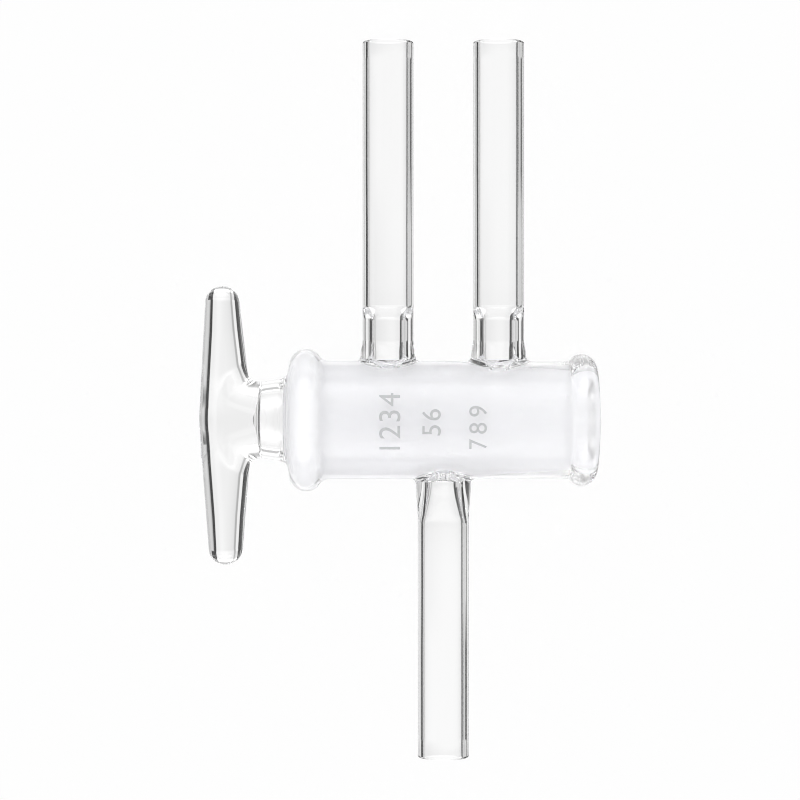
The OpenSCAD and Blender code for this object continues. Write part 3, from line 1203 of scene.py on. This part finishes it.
@dataclass(frozen=True)
class Plug:
    """Hollow ground plug with its oblique bore tubes, neck and T handle, fused as one piece.

    Attributes:
        taper: The ground cone.
        start_x: Where the ground cone starts, outside the barrel's mouth.
        end_x: Where the plug's small end lies.
        wall: Wall of the hollow cone.
        bore_r: Radius of the bores.
        tube_wall: Wall of the bore tubes.
        end_r: Radius round the small end.
        neck_r: Radius of the neck at the handle.
        neck_flare_r: Radius of the neck where it starts to flare.
        neck_wall: Wall of the neck.
        neck_length: Length of the hollow neck.
        flare_r: Radius of the flare from the neck to the cone.
        cavity_corner: Radius in the corner of the cavity's end at the handle.
        cavity_dome: Depth of that end's dome, below zero where the glass bulges into the cavity.
        joint_length: Length of the neck's turned skin beyond the flare, up to the handle's skin.
        joint_gap: Gap between those two skins, closed with triangles.
        arm_spacing: Distance between the paired arms.
        cells: Cells of the skin in that distance.
        half_rows: Cells from a bore's axis to the ends of its window.
        half_turns: Columns from a bore's axis to the sides of its window.
        handle: The T handle.
    """

    taper: GroundTaper = GroundTaper()
    start_x: float = -30.35
    end_x: float = 29.55
    wall: float = 1.9
    bore_r: float = 2.0
    tube_wall: float = 1.1
    end_r: float = 2.2
    neck_r: float = 7.5
    neck_flare_r: float = 8.0
    neck_wall: float = 1.8
    neck_length: float = 5.5
    flare_r: float = 1.95
    cavity_corner: float = 0.25
    cavity_dome: float = -0.65
    joint_length: float = 1.6
    joint_gap: float = 0.15
    arm_spacing: float = 21.66
    cells: int = 36
    half_rows: int = 8
    half_turns: int = 11
    handle: Handle = Handle()

    @property
    def neck_start_x(self) -> float:
        """Where the hollow neck starts at the handle."""
        return self.start_x - self.neck_length

    def neck_radius(self, x: np.ndarray) -> np.ndarray:
        """Radius of the neck's outside.

        Args:
            x: Places along the axis.

        Returns:
            One radius for each.
        """
        run = self.neck_length - self.flare_r
        share = (x - self.neck_start_x) / run
        return self.neck_r + (self.neck_flare_r - self.neck_r) * np.clip(share, 0, 1)

    def _places(self, start: float, end: float) -> tuple[np.ndarray, int]:
        """Places of the skin's rows from start to end, and the row of the single arm's axis."""
        half = self.cells // 2 + self.half_rows
        return even_places(start, end, self.arm_spacing / self.cells, half)

    def _bores(self) -> list[tuple[tuple[float, int], tuple[float, int]]]:
        """Both ends of each bore, as place and side."""
        far = self.arm_spacing / 2
        return [((0.0, -1), (-far, 1)), ((far, -1), (0.0, 1))]

    def _bore_rings(
        self, bore: tuple[tuple[float, int], tuple[float, int]], r: float, inset: float
    ) -> np.ndarray:
        """Rings of a bore or of its tube between two places on a cone.

        Args:
            bore: Both ends, as place and side.
            r: Radius of the rings.
            inset: How far the cone lies inside the ground one.

        Returns:
            Rings of points, the first and the last on the cone.
        """
        ends = [np.array([x, side * self.taper.plug_r(x), 0.0]) for x, side in bore]
        run = ends[1] - ends[0]
        length = np.linalg.norm(run)
        run /= length
        across = np.array([run[1], -run[0], 0.0])
        turn = self._turns()
        ring = r * (np.cos(turn)[:, None] * across + np.sin(turn)[:, None] * np.array([0, 0, 1.0]))
        limits = []
        for end in ends:
            # Each point slides along the bore until it lies on the cone
            t = np.zeros(len(turn))
            for _ in range(SETTLE_ROUNDS):
                p = end + ring + t[:, None] * run
                away = np.hypot(p[:, 1], p[:, 2])
                gap = away - (self.taper.plug_r(p[:, 0]) - inset)
                rate = p[:, 1] / away * run[1] + run[0] / (2 * self.taper.run)
                t -= gap / rate
            limits.append(end + ring + t[:, None] * run)
        shares = np.linspace(0, 1, BORE_RINGS)[:, None, None]
        return (1 - shares) * limits[0] + shares * limits[1]

    def _window(self, x: float, side: int, middle_row: int) -> Window:
        """Window where a bore opens at a place on one side."""
        row = middle_row + round(x * self.cells / self.arm_spacing)
        return Window(row, self.half_rows, self.half_turns, side)

    def _turns(self) -> np.ndarray:
        """Angles at which the points of a window lie from its middle, once it is squared up.

        Returns:
            One angle for each point, from the window's low corner.
        """
        rows = np.arange(-self.half_rows, self.half_rows + 1) / self.half_rows
        cols = np.arange(-self.half_turns, self.half_turns + 1) / self.half_turns
        plan = [(rows[0], w) for w in cols[:-1]]
        plan += [(u, cols[-1]) for u in rows[:-1]]
        plan += [(rows[-1], w) for w in cols[:0:-1]]
        plan += [(u, cols[0]) for u in rows[:0:-1]]
        return np.array([math.atan2(w, u) for u, w in plan])

    def _open_bores(
        self,
        skin: Skin,
        cone: tuple[np.ndarray, np.ndarray],
        middle: int,
        r: float,
        inset: float,
        finish: Finish,
    ) -> None:
        """Weaves a cone with its bores opened and joined by tubes.

        Args:
            skin: The skin to add to.
            cone: Point numbers and points of the cone's rings.
            middle: Row of the single arm's axis.
            r: Radius of the tubes.
            inset: How far the cone lies inside the ground one.
            finish: Finish of the cone.
        """
        rows, grid = cone
        windows = [[self._window(x, side, middle) for x, side in bore] for bore in self._bores()]
        shape = (len(rows) - 1, TURNS)
        skin.weave(rows, finish, np.any([w.cells(shape) for pair in windows for w in pair], axis=0))
        for bore, pair in zip(self._bores(), windows):
            rings = self._bore_rings(bore, r, inset)
            tube = skin.add(rings)
            skin.weave(tube, Finish.CLEAR)
            for window, ring, at in zip(pair, (tube[0], tube[-1]), (rings[0], rings[-1])):
                edge = window.points(grid)
                between = []
                for share in np.linspace(0, 1, 6)[1:-1]:
                    p = (1 - share) * at + share * edge
                    scale = (self.taper.plug_r(p[:, 0]) - inset) / np.hypot(p[:, 1], p[:, 2])
                    p[:, 1:] *= scale[:, None]
                    between.append(p)
                ids = skin.add(np.array(between))
                skin.weave(np.concatenate([ring[None], ids, window.loop(rows)[None]]), finish)

    def build(self) -> Skin:
        """Makes the skin of the plug with its cavity and handle.

        Returns:
            The closed skins.
        """
        skin = Skin()
        self._build_outside(skin)
        self._build_cavity(skin)
        return skin

    def _close_end(self, skin: Skin, last: np.ndarray, corner: np.ndarray, x: float) -> None:
        """Adds the small end of a cone: its rounded corner and its flat face.

        Args:
            skin: The skin to add to.
            last: Point numbers of the cone's last ring.
            corner: Profile of the corner.
            x: Place of the face.
        """
        face = np.stack([np.full(4, x), np.linspace(corner[-1, 1], CAP_R, 5)[1:]], axis=-1)
        rows = skin.add(turned(np.concatenate([corner, face])))
        skin.weave(np.concatenate([last[None], rows]), Finish.CLEAR)
        skin.cap(rows[-1], (x, 0, 0), Finish.CLEAR)

    def _build_outside(self, skin: Skin) -> None:
        """Adds the ground cone, the small end, the neck and the handle.

        Args:
            skin: The skin to add to.
        """
        slope = math.degrees(math.atan(1 / (2 * self.taper.run)))
        end_x = self.end_x - self.end_r
        ring_r = self.taper.plug_r(end_x) - self.end_r / math.cos(math.radians(slope))
        cone_end = end_x + self.end_r * math.sin(math.radians(slope))
        places, middle = self._places(self.start_x, cone_end)
        cone = turned(np.stack([places, self.taper.plug_r(places)], axis=-1))
        cone_rows = skin.add(cone)
        self._open_bores(skin, (cone_rows, cone), middle, self.bore_r, 0.0, Finish.GROUND)
        corner = arc((end_x, ring_r), self.end_r, 90 - slope, 0, 10)[1:]
        self._close_end(skin, cone_rows[-1], corner, self.end_x)

        flare_x = self.start_x - self.flare_r
        joint_x = flare_x - self.joint_length
        flare = arc((flare_x, self.neck_flare_r + self.flare_r), self.flare_r, 0, -90, 12)
        neck_x = spaced(flare_x, joint_x, NECK_STEP)[1:]
        neck = np.stack([neck_x, self.neck_radius(neck_x)], axis=-1)
        neck_rows = skin.add(turned(np.concatenate([flare, neck])))
        skin.weave(np.concatenate([cone_rows[:1], neck_rows]), Finish.CLEAR)

        net = self.handle.build(joint_x - self.joint_gap, self.neck_radius)
        numbers = skin.add(net.points, net.normals)
        skin.faces(numbers[net.quads], Finish.CLEAR)
        skin.zip_rings(neck_rows[-1], numbers[net.rim], Finish.CLEAR)

    def _build_cavity(self, skin: Skin) -> None:
        """Adds the closed cavity with the tubes that cross it.

        Args:
            skin: The skin to add to.
        """
        wide_x = self.start_x + self.wall
        end_x = self.end_x - self.wall
        corner_r = self.end_r / 2
        places, middle = self._places(wide_x, end_x - corner_r)
        cone = turned(np.stack([places, self.taper.plug_r(places) - self.wall], axis=-1))
        cone_rows = skin.add(cone)
        tube_r = self.bore_r + self.tube_wall
        self._open_bores(skin, (cone_rows, cone), middle, tube_r, self.wall, Finish.CLEAR)
        ring_r = self.taper.plug_r(end_x) - self.wall - corner_r
        corner = arc((end_x - corner_r, ring_r), corner_r, 90, 0, 6)[1:]
        self._close_end(skin, cone_rows[-1], corner, end_x)

        profile, dome_x = self._neck_profile(wide_x)
        neck_rows = skin.add(turned(profile))
        skin.weave(np.concatenate([cone_rows[:1], neck_rows]), Finish.CLEAR)
        skin.cap(neck_rows[-1], (dome_x, 0, 0), Finish.CLEAR)

    def _neck_profile(self, wide_x: float) -> tuple[np.ndarray, float]:
        """Profile of the cavity from the cone through the neck to its domed end.

        Args:
            wide_x: Where the cavity has the cone's width.

        Returns:
            One row of place and radius for each point, and the place of the dome's middle.
        """
        narrow_x = self.start_x - self.flare_r
        narrow_r = self.neck_flare_r - self.neck_wall
        neck_r = self.neck_r - self.neck_wall
        swell_x = spaced(wide_x, narrow_x, SWELL_STEP)[1:]
        share = smooth_share((swell_x - narrow_x) / (wide_x - narrow_x))
        swell = narrow_r + (self.taper.plug_r(wide_x) - self.wall - narrow_r) * share
        corner = self.cavity_corner
        corner_x = self.neck_start_x + corner
        neck_x = spaced(narrow_x, corner_x, NECK_STEP)[1:]
        neck = (narrow_r - neck_r) * (neck_x - self.neck_start_x) / (narrow_x - self.neck_start_x)
        neck = neck_r + neck
        turn = arc((corner_x, neck_r - corner), corner, 90, 175, 8)[1:]
        ring = np.linspace(turn[-1, 1], DOME_CAP_R, 9)[1:]
        dome = turn[-1, 0] - self.cavity_dome * (1 - (ring / turn[-1, 1]) ** 2)
        profile = np.concatenate([
            np.stack([swell_x, swell], axis=-1),
            np.stack([neck_x, neck], axis=-1),
            turn,
            np.stack([dome, ring], axis=-1),
        ])
        return profile, turn[-1, 0] - self.cavity_dome


# ---------------------------------------------------------------- finishes


def linear(hex_colour: str) -> tuple[float, float, float, float]:
    """Turns an sRGB hex colour into the linear values that Blender works in.

    Args:
        hex_colour: Six hex digits.

    Returns:
        Red, green, blue and an alpha of one.
    """
    channels = [int(hex_colour[i : i + 2], 16) / 255 for i in (0, 2, 4)]
    values = [c / 12.92 if c <= 0.04045 else ((c + 0.055) / 1.055) ** 2.4 for c in channels]
    return values[0], values[1], values[2], 1.0


def add_node(
    tree: Tree, kind: str, settings: dict | None = None, **links: object
) -> bpy.types.Node:
    """Adds a node with its settings and what goes into its sockets.

    Args:
        tree: The tree to add to.
        kind: The node's type.
        settings: Properties of the node.
        **links: For each socket, named with underscores or as i and a number, its value or the
            output socket that feeds it.

    Returns:
        The node.
    """
    node = tree.nodes.new(kind)
    for name, value in (settings or {}).items():
        setattr(node, name, value)
    for name, value in links.items():
        key = int(name[1:]) if name[0] == "i" and name[1:].isdigit() else name.replace("_", " ")
        socket = node.inputs[key]
        if isinstance(value, Socket):
            tree.links.new(value, socket)
        else:
            socket.default_value = value
    return node


def calculated(tree: Tree, operation: str, *values: object) -> Socket:
    """Adds a math node.

    Args:
        tree: The tree to add to.
        operation: What it works out.
        *values: Its values, or the sockets that give them.

    Returns:
        The result.
    """
    links = {f"i{index}": value for index, value in enumerate(values)}
    return add_node(tree, "ShaderNodeMath", {"operation": operation}, **links).outputs[0]


def blended(tree: Tree, share: object, first: object, second: object) -> Socket:
    """Adds a mix of two levels.

    Args:
        tree: The tree to add to.
        share: Share of the second level.
        first: The first level.
        second: The second level.

    Returns:
        The mixed level.
    """
    mix = add_node(tree, "ShaderNodeMix", {"data_type": "FLOAT"}, Factor=share, A=first, B=second)
    return mix.outputs[0]


def along_axes(tree: Tree, vector: Socket, axes: BarrelAxes) -> list[Socket]:
    """Adds nodes that measure a vector along each of the barrel's axes.

    Args:
        tree: The tree to add to.
        vector: The vector.
        axes: The barrel's axes.

    Returns:
        Its lengths along the barrel, along the paired arms and towards the viewer.
    """
    return [
        add_node(
            tree, "ShaderNodeVectorMath", {"operation": "DOT_PRODUCT"}, i0=vector, i1=tuple(unit)
        ).outputs["Value"]
        for unit in (axes.along, axes.arms, axes.facing)
    ]


def grain(tree: Tree, place: Socket, width: float, detail: float) -> Socket:
    """Adds an uneven pattern.

    Args:
        tree: The tree to add to.
        place: Where the surface is, in metres.
        width: Width of the pattern's patches in millimetres.
        detail: Number of finer layers in it.

    Returns:
        Its height, from 0 to 1.
    """
    scale = 1 / (width * MM)
    noise = add_node(tree, "ShaderNodeTexNoise", Vector=place, Scale=scale, Detail=detail)
    return noise.outputs["Fac"]


def new_material(name: str) -> tuple[Material, Socket, bpy.types.NodeInputs]:
    """Starts a material.

    Args:
        name: What the material is and how it was made.

    Returns:
        The material, where its surface is in the piece's own metres, and its shader's inputs.
    """
    made = bpy.data.materials.new(name)
    made.use_nodes = True
    place = add_node(made.node_tree, "ShaderNodeTexCoord").outputs["Object"]
    return made, place, made.node_tree.nodes["Principled BSDF"].inputs


@dataclass(frozen=True)
class BorosilicateGlass:
    """Clear borosilicate glass, drawn as tube and then worked in the flame.

    It has no colour of its own, and shows only by the bright and dark lines that its edges bend.
    The die that drew the tube left faint lines along it, and the flame left slow waves, so those
    lines waver a little.

    Attributes:
        ior: Index of refraction of borosilicate glass.
        line_width: Width of a draw line in millimetres.
        line_depth: Depth of a draw line in millimetres.
        line_length: Length of a draw line in millimetres.
        arm_from: Distance from the barrel's axis where the lines start to turn along the arms.
        arm_to: Distance where they run along the arms only.
        wave_width: Width of the flame's waves in millimetres.
        wave_depth: Depth of the flame's waves in millimetres.
    """

    ior: float = 1.474
    line_width: float = 0.9
    line_depth: float = 0.0012
    line_length: float = 90.0
    arm_from: float = 12.0
    arm_to: float = 17.0
    wave_width: float = 7.0
    wave_depth: float = 0.012

    def _lines(self, tree: Tree, axes: BarrelAxes, place: Socket) -> Socket:
        """Adds the draw lines, along the barrel inside its radius and along the arms beyond it.

        Args:
            tree: The material's nodes.
            axes: The barrel's axes.
            place: Where the surface is, in the piece's own metres.

        Returns:
            Their height, from 0 to 1.
        """
        from_origin = add_node(
            tree, "ShaderNodeVectorMath", {"operation": "SUBTRACT"}, i0=place, i1=tuple(axes.origin)
        )
        parts = along_axes(tree, from_origin.outputs[0], axes)
        own = add_node(tree, "ShaderNodeCombineXYZ", X=parts[0], Y=parts[1], Z=parts[2]).outputs[0]
        fine, slow = 1 / (self.line_width * MM), 1 / (self.line_length * MM)
        heights = []
        for scale in ((slow, fine, fine), (fine, slow, fine)):
            drawn = add_node(
                tree, "ShaderNodeVectorMath", {"operation": "MULTIPLY"}, i0=own, i1=scale
            )
            noise = add_node(
                tree, "ShaderNodeTexNoise", Vector=drawn.outputs[0], Scale=1.0, Detail=2.0
            )
            heights.append(noise.outputs["Fac"])
        away = calculated(tree, "ABSOLUTE", parts[1])
        on_arm = add_node(
            tree, "ShaderNodeMapRange",
            Value=away, From_Min=self.arm_from * MM, From_Max=self.arm_to * MM,
        )
        return blended(tree, on_arm.outputs["Result"], *heights)

    def material(self, axes: BarrelAxes) -> Material:
        """Makes the material.

        Args:
            axes: The barrel's axes.

        Returns:
            The material.
        """
        made, place, inputs = new_material("borosilicate_drawn_and_flame_worked")
        tree = made.node_tree
        waves = grain(tree, place, self.wave_width, 1.0)
        wavy = add_node(tree, "ShaderNodeBump", Height=waves, Distance=self.wave_depth * MM)
        lines = self._lines(tree, axes, place)
        lined = add_node(
            tree, "ShaderNodeBump",
            Height=lines, Distance=self.line_depth * MM, Normal=wavy.outputs[0],
        )
        inputs["Base Color"].default_value = linear("ffffff")
        inputs["Transmission Weight"].default_value = 1.0
        inputs["IOR"].default_value = self.ior
        inputs["Roughness"].default_value = 0.0
        tree.links.new(lined.outputs[0], inputs["Normal"])
        return made


@dataclass(frozen=True)
class GroundGlass:
    """Borosilicate glass ground with loose grit, as in the taper of a stopcock.

    Countless small chips scatter the light, so the joint reads as a soft white with hardly any
    detail behind it, where the clear glass shows crisp lines.

    Attributes:
        ior: Index of refraction from the glass into the film of grease that fills the grit's marks.
        roughness: Roughness that the grit left.
        clear_share: Share of the light that goes through; the rest comes back white.
        grain: Width of the grain in millimetres. The grit's own marks of 0.03 mm don't show, so
            they are drawn five times as coarse.
        grain_depth: Depth of the grain in millimetres.
    """

    ior: float = 1.1
    roughness: float = 0.45
    clear_share: float = 0.5
    grain: float = 0.15
    grain_depth: float = 0.004

    def material(self) -> Material:
        """Makes the material.

        Returns:
            The material.
        """
        made, place, inputs = new_material("borosilicate_ground_with_grit")
        tree = made.node_tree
        chips = grain(tree, place, self.grain, 2.0)
        bump = add_node(tree, "ShaderNodeBump", Height=chips, Distance=self.grain_depth * MM)
        inputs["Base Color"].default_value = linear("fefeff")
        inputs["Transmission Weight"].default_value = self.clear_share
        inputs["IOR"].default_value = self.ior
        inputs["Roughness"].default_value = self.roughness
        tree.links.new(bump.outputs[0], inputs["Normal"])
        return made


@dataclass(frozen=True)
class FiredEnamel:
    """Grey enamel, screen-printed on the glass and fired into it.

    It lies matt and thin on the glossy glass, a little lighter where the screen left less of it.

    Attributes:
        thick: Colour where it lies thick.
        thin: Colour where it lies thin.
        patch: Width of its uneven patches in millimetres.
        roughness: Roughness of its matt surface.
    """

    thick: str = "bcbdbe"
    thin: str = "d2d3d4"
    patch: float = 0.5
    roughness: float = 0.5

    def material(self) -> Material:
        """Makes the material.

        Returns:
            The material.
        """
        made, place, inputs = new_material("enamel_grey_fired")
        tree = made.node_tree
        colour = add_node(
            tree, "ShaderNodeMix", {"data_type": "RGBA"},
            i0=grain(tree, place, self.patch, 2.0), i6=linear(self.thick), i7=linear(self.thin),
        )
        inputs["Roughness"].default_value = self.roughness
        tree.links.new(colour.outputs[2], inputs["Base Color"])
        return made


# ---------------------------------------------------------------- studio


# Stops of ramps, as a place and a level. The place tells how far a direction leans along one of the
# barrel's axes: from -1 to 1 where both ends differ, or from 0 to 1 where they are alike.

# Dark flags that stand across the barrel on the light table, from the handle's side
FLAGS = (
    (-1.0, 0.9), (-0.94, 0.9), (-0.88, 0.03), (-0.62, 0.03),
    (-0.59, 0.95), (-0.48, 0.95), (-0.45, 0.45), (-0.4, 0.45),
    (-0.36, 0.82), (-0.24, 0.89), (-0.12, 0.93),
    (0.03, 1.0), (0.1, 1.0), (0.2, 0.93), (0.3, 0.93), (0.33, 0.02),
    (0.43, 0.02), (0.47, 0.45), (0.54, 0.68), (0.75, 0.68), (0.88, 0.6), (0.94, 0.9), (1.0, 0.9),
)
# The same further out along the arms, where the flags stand wider
OUTER_FLAGS = (
    (-1.0, 0.9), (-0.94, 0.9), (-0.9, 0.05), (-0.84, 0.05), (-0.82, 0.4), (-0.78, 0.4),
    (-0.76, 0.03), (-0.6, 0.03),
    (-0.57, 0.8), (-0.48, 0.8), (-0.45, 0.45), (-0.4, 0.45),
    (-0.36, 0.85), (-0.24, 0.92), (-0.12, 1.0),
    (0.1, 1.0), (0.2, 0.93), (0.31, 0.93), (0.345, 0.02),
    (0.63, 0.02), (0.67, 0.6), (0.75, 0.68), (0.9, 0.55), (1.0, 0.55),
)
# Where the wider flags take over, along the arms
FLAG_WIDENING = ((-0.1, 1.0), (-0.08, 0.0), (0.07, 0.0), (0.095, 1.0))
# How strongly the flags darken the table, away from the barrel
FLAG_STRENGTH = ((0.0, 1.0), (0.45, 1.0), (0.6, 0.75), (1.0, 0.75))
# Brightness of the table along the arms
TABLE = (
    (-1.0, 1.0), (-0.88, 0.55), (-0.74, 0.55), (-0.66, 1.1), (-0.6, 1.7), (-0.5, 1.7),
    (-0.42, 0.94), (-0.17, 0.94), (-0.14, 1.0), (-0.07, 1.0), (-0.03, 0.94), (0.0, 0.93),
    (0.03, 0.94), (0.07, 0.98), (0.16, 0.98), (0.19, 0.94), (0.42, 0.94), (0.5, 1.7), (0.6, 1.7),
    (0.66, 1.1), (0.74, 0.55), (0.88, 0.55), (1.0, 1.0),
)
# Brightness of the room above, away from the barrel
ROOM = ((0.0, 0.64), (0.3, 0.7), (0.6, 1.3), (1.0, 3.4))
# Share of the table in what glass sees, from straight down at -1 to straight up at 1
TABLE_SHARE = ((-1.0, 1.0), (0.15, 1.0), (0.4, 0.0), (1.0, 0.0))


def ramp(tree: Tree, value: Socket, stops: tuple[tuple[float, float], ...]) -> Socket:
    """Adds a ramp of brightness.

    Args:
        tree: The tree to add to.
        value: What drives the ramp, from 0 to 1.
        stops: Places and levels. Places below zero mean a range from -1 to 1.

    Returns:
        The level.
    """
    node = add_node(tree, "ShaderNodeValToRGB", Fac=value)
    signed = stops[0][0] < 0
    elements = node.color_ramp.elements
    while len(elements) > 1:
        elements.remove(elements[-1])
    for index, (place, level) in enumerate(stops):
        at = (place + 1) / 2 if signed else place
        element = elements[0] if index == 0 else elements.new(at)
        element.position = at
        element.color = (level, level, level, 1.0)
    return node.outputs["Color"]


@dataclass(frozen=True)
class Studio:
    """Pale floor, soft light all round, and the camera that looks down on the stopcock.

    Attributes:
        distance: From the camera to the plane of the arms, in millimetres.
        pixel: Size of a pixel in that plane, in millimetres.
        pixels: Width of the square image.
        aim: What the middle of the image shows, in the barrel's axes.
        floor_size: Half the width of the floor, in metres.
        floor_glow: Share of the floor's white that is even and takes no shadow.
        room_light: Brightness that lights matt surfaces.
    """

    distance: float = 482.0
    pixel: float = 0.196
    pixels: int = 800
    aim: tuple[float, float, float] = (-8.487, 3.92, 0.0)
    floor_size: float = 6.0
    floor_glow: float = 0.94
    room_light: float = 0.95

    def add_camera(self, axes: BarrelAxes) -> Object:
        """Adds the camera, square to the plane of the arms.

        Args:
            axes: The barrel's axes.

        Returns:
            The camera.
        """
        data = bpy.data.cameras.new("camera")
        data.angle = 2 * math.atan(self.pixels / 2 * self.pixel / self.distance)
        camera = bpy.data.objects.new("camera", data)
        place = Vector(self.aim) + Vector((0, 0, self.distance))
        camera.matrix_world = Matrix.Translation(axes.to_frame() @ place) @ axes.rotation()
        bpy.context.scene.collection.objects.link(camera)
        bpy.context.scene.camera = camera
        return camera

    @staticmethod
    def _seen_by_glass(tree: Tree, path: bpy.types.Node) -> Socket:
        """1 for light that went through glass or was reflected in it, otherwise 0."""
        kinds = (path.outputs[name] for name in ("Is Transmission Ray", "Is Glossy Ray"))
        return calculated(tree, "MAXIMUM", *kinds)

    def add_floor(self) -> Object:
        """Adds the pale floor, which glass sees as a clear table over the lights.

        Returns:
            The floor.
        """
        mesh = bpy.data.meshes.new("floor")
        size = self.floor_size
        corners = [(-size, -size, 0), (size, -size, 0), (size, size, 0), (-size, size, 0)]
        mesh.from_pydata(corners, [], [(0, 1, 2, 3)])
        made = bpy.data.materials.new("floor_white_acrylic")
        made.use_nodes = True
        tree = made.node_tree
        tree.nodes.clear()
        path = add_node(tree, "ShaderNodeLightPath")
        lit = add_node(tree, "ShaderNodeBsdfDiffuse", Color=linear("f4f4f4"))
        glow = add_node(tree, "ShaderNodeEmission", Color=linear("ffffff"), Strength=1.0)
        clear = add_node(tree, "ShaderNodeBsdfTransparent")
        seen = add_node(
            tree, "ShaderNodeMixShader", i0=self.floor_glow, i1=lit.outputs[0], i2=glow.outputs[0]
        )
        through = self._seen_by_glass(tree, path)
        mix = add_node(
            tree, "ShaderNodeMixShader", i0=through, i1=seen.outputs[0], i2=clear.outputs[0]
        )
        add_node(tree, "ShaderNodeOutputMaterial", Surface=mix.outputs[0])
        mesh.materials.append(made)
        floor = bpy.data.objects.new("floor", mesh)
        bpy.context.scene.collection.objects.link(floor)
        return floor

    @staticmethod
    def _pattern(tree: Tree, axes: BarrelAxes) -> Socket:
        """Adds what glass sees: a light table with dark flags below, and a soft room above.

        Args:
            tree: The world's nodes.
            axes: The barrel's axes.

        Returns:
            Its brightness in each direction.
        """
        towards = add_node(tree, "ShaderNodeTexCoord").outputs["Generated"]
        parts = along_axes(tree, towards, axes)
        along, arms, facing = (
            add_node(tree, "ShaderNodeMapRange", Value=part, From_Min=-1.0).outputs["Result"]
            for part in parts
        )
        away = calculated(tree, "ABSOLUTE", parts[1])
        outer = ramp(tree, arms, FLAG_WIDENING)
        flags = blended(tree, outer, ramp(tree, along, FLAGS), ramp(tree, along, OUTER_FLAGS))
        flags = blended(tree, ramp(tree, away, FLAG_STRENGTH), 1.0, flags)
        table = calculated(tree, "MULTIPLY", ramp(tree, arms, TABLE), flags)
        return blended(tree, ramp(tree, facing, TABLE_SHARE), ramp(tree, away, ROOM), table)

    def light(self, axes: BarrelAxes) -> None:
        """Sets the world: even white for all but glass, which sees the pattern.

        Args:
            axes: The barrel's axes.
        """
        world = bpy.data.worlds.new("studio")
        world.use_nodes = True
        bpy.context.scene.world = world
        tree = world.node_tree
        tree.nodes.clear()
        path = add_node(tree, "ShaderNodeLightPath")
        plain = blended(tree, path.outputs["Is Camera Ray"], self.room_light, 1.0)
        level = blended(tree, self._seen_by_glass(tree, path), plain, self._pattern(tree, axes))
        shine = add_node(tree, "ShaderNodeBackground", Color=linear("ffffff"), Strength=level)
        add_node(tree, "ShaderNodeOutputWorld", Surface=shine.outputs[0])


# ---------------------------------------------------------------- putting it together


# How far light is followed through the glass, and the softness of the image
LIGHT_PATHS = {
    "max_bounces": 32,
    "transmission_bounces": 32,
    "glossy_bounces": 16,
    "diffuse_bounces": 24,
    "transparent_max_bounces": 16,
    "sample_clamp_indirect": 0.0,
    "blur_glossy": 0.0,
    "filter_width": 1.0,
}


def main() -> None:
    """Builds the stopcock and its studio."""
    logging.basicConfig(level=logging.INFO, format="%(message)s")
    axes = BarrelAxes.from_record(frame["record"])
    for startup in ("Cube", "Light", "Camera"):
        if startup in bpy.data.objects:
            bpy.data.objects.remove(bpy.data.objects[startup])

    clear = BorosilicateGlass().material(axes)
    ground = GroundGlass().material()

    barrel = Barrel().build().to_object("blown_barrel", axes, [clear, ground])
    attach(barrel, "barrel")
    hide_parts("barrel")
    LOG.info("barrel: %d faces", len(barrel.data.polygons))

    enamel = FiredEnamel().material()
    for number, port in enumerate(PORT_NUMBERS, 1):
        printed = port.to_object(f"port_number_{number}", Barrel.r, axes, enamel)
        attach(printed, "barrel")
        LOG.info("print %d: %d faces", number, len(printed.data.polygons))

    plug = Plug().build().to_object("hollow_plug", axes, [clear, ground])
    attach(plug, "plug")
    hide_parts("plug")
    LOG.info("plug: %d faces", len(plug.data.polygons))

    studio = Studio()
    studio.add_camera(axes)
    studio.add_floor()
    studio.light(axes)
    bpy.context.scene.view_settings.view_transform = "Standard"
    for name, value in LIGHT_PATHS.items():
        setattr(bpy.context.scene.cycles, name, value)


if __name__ == "__main__":
    main()
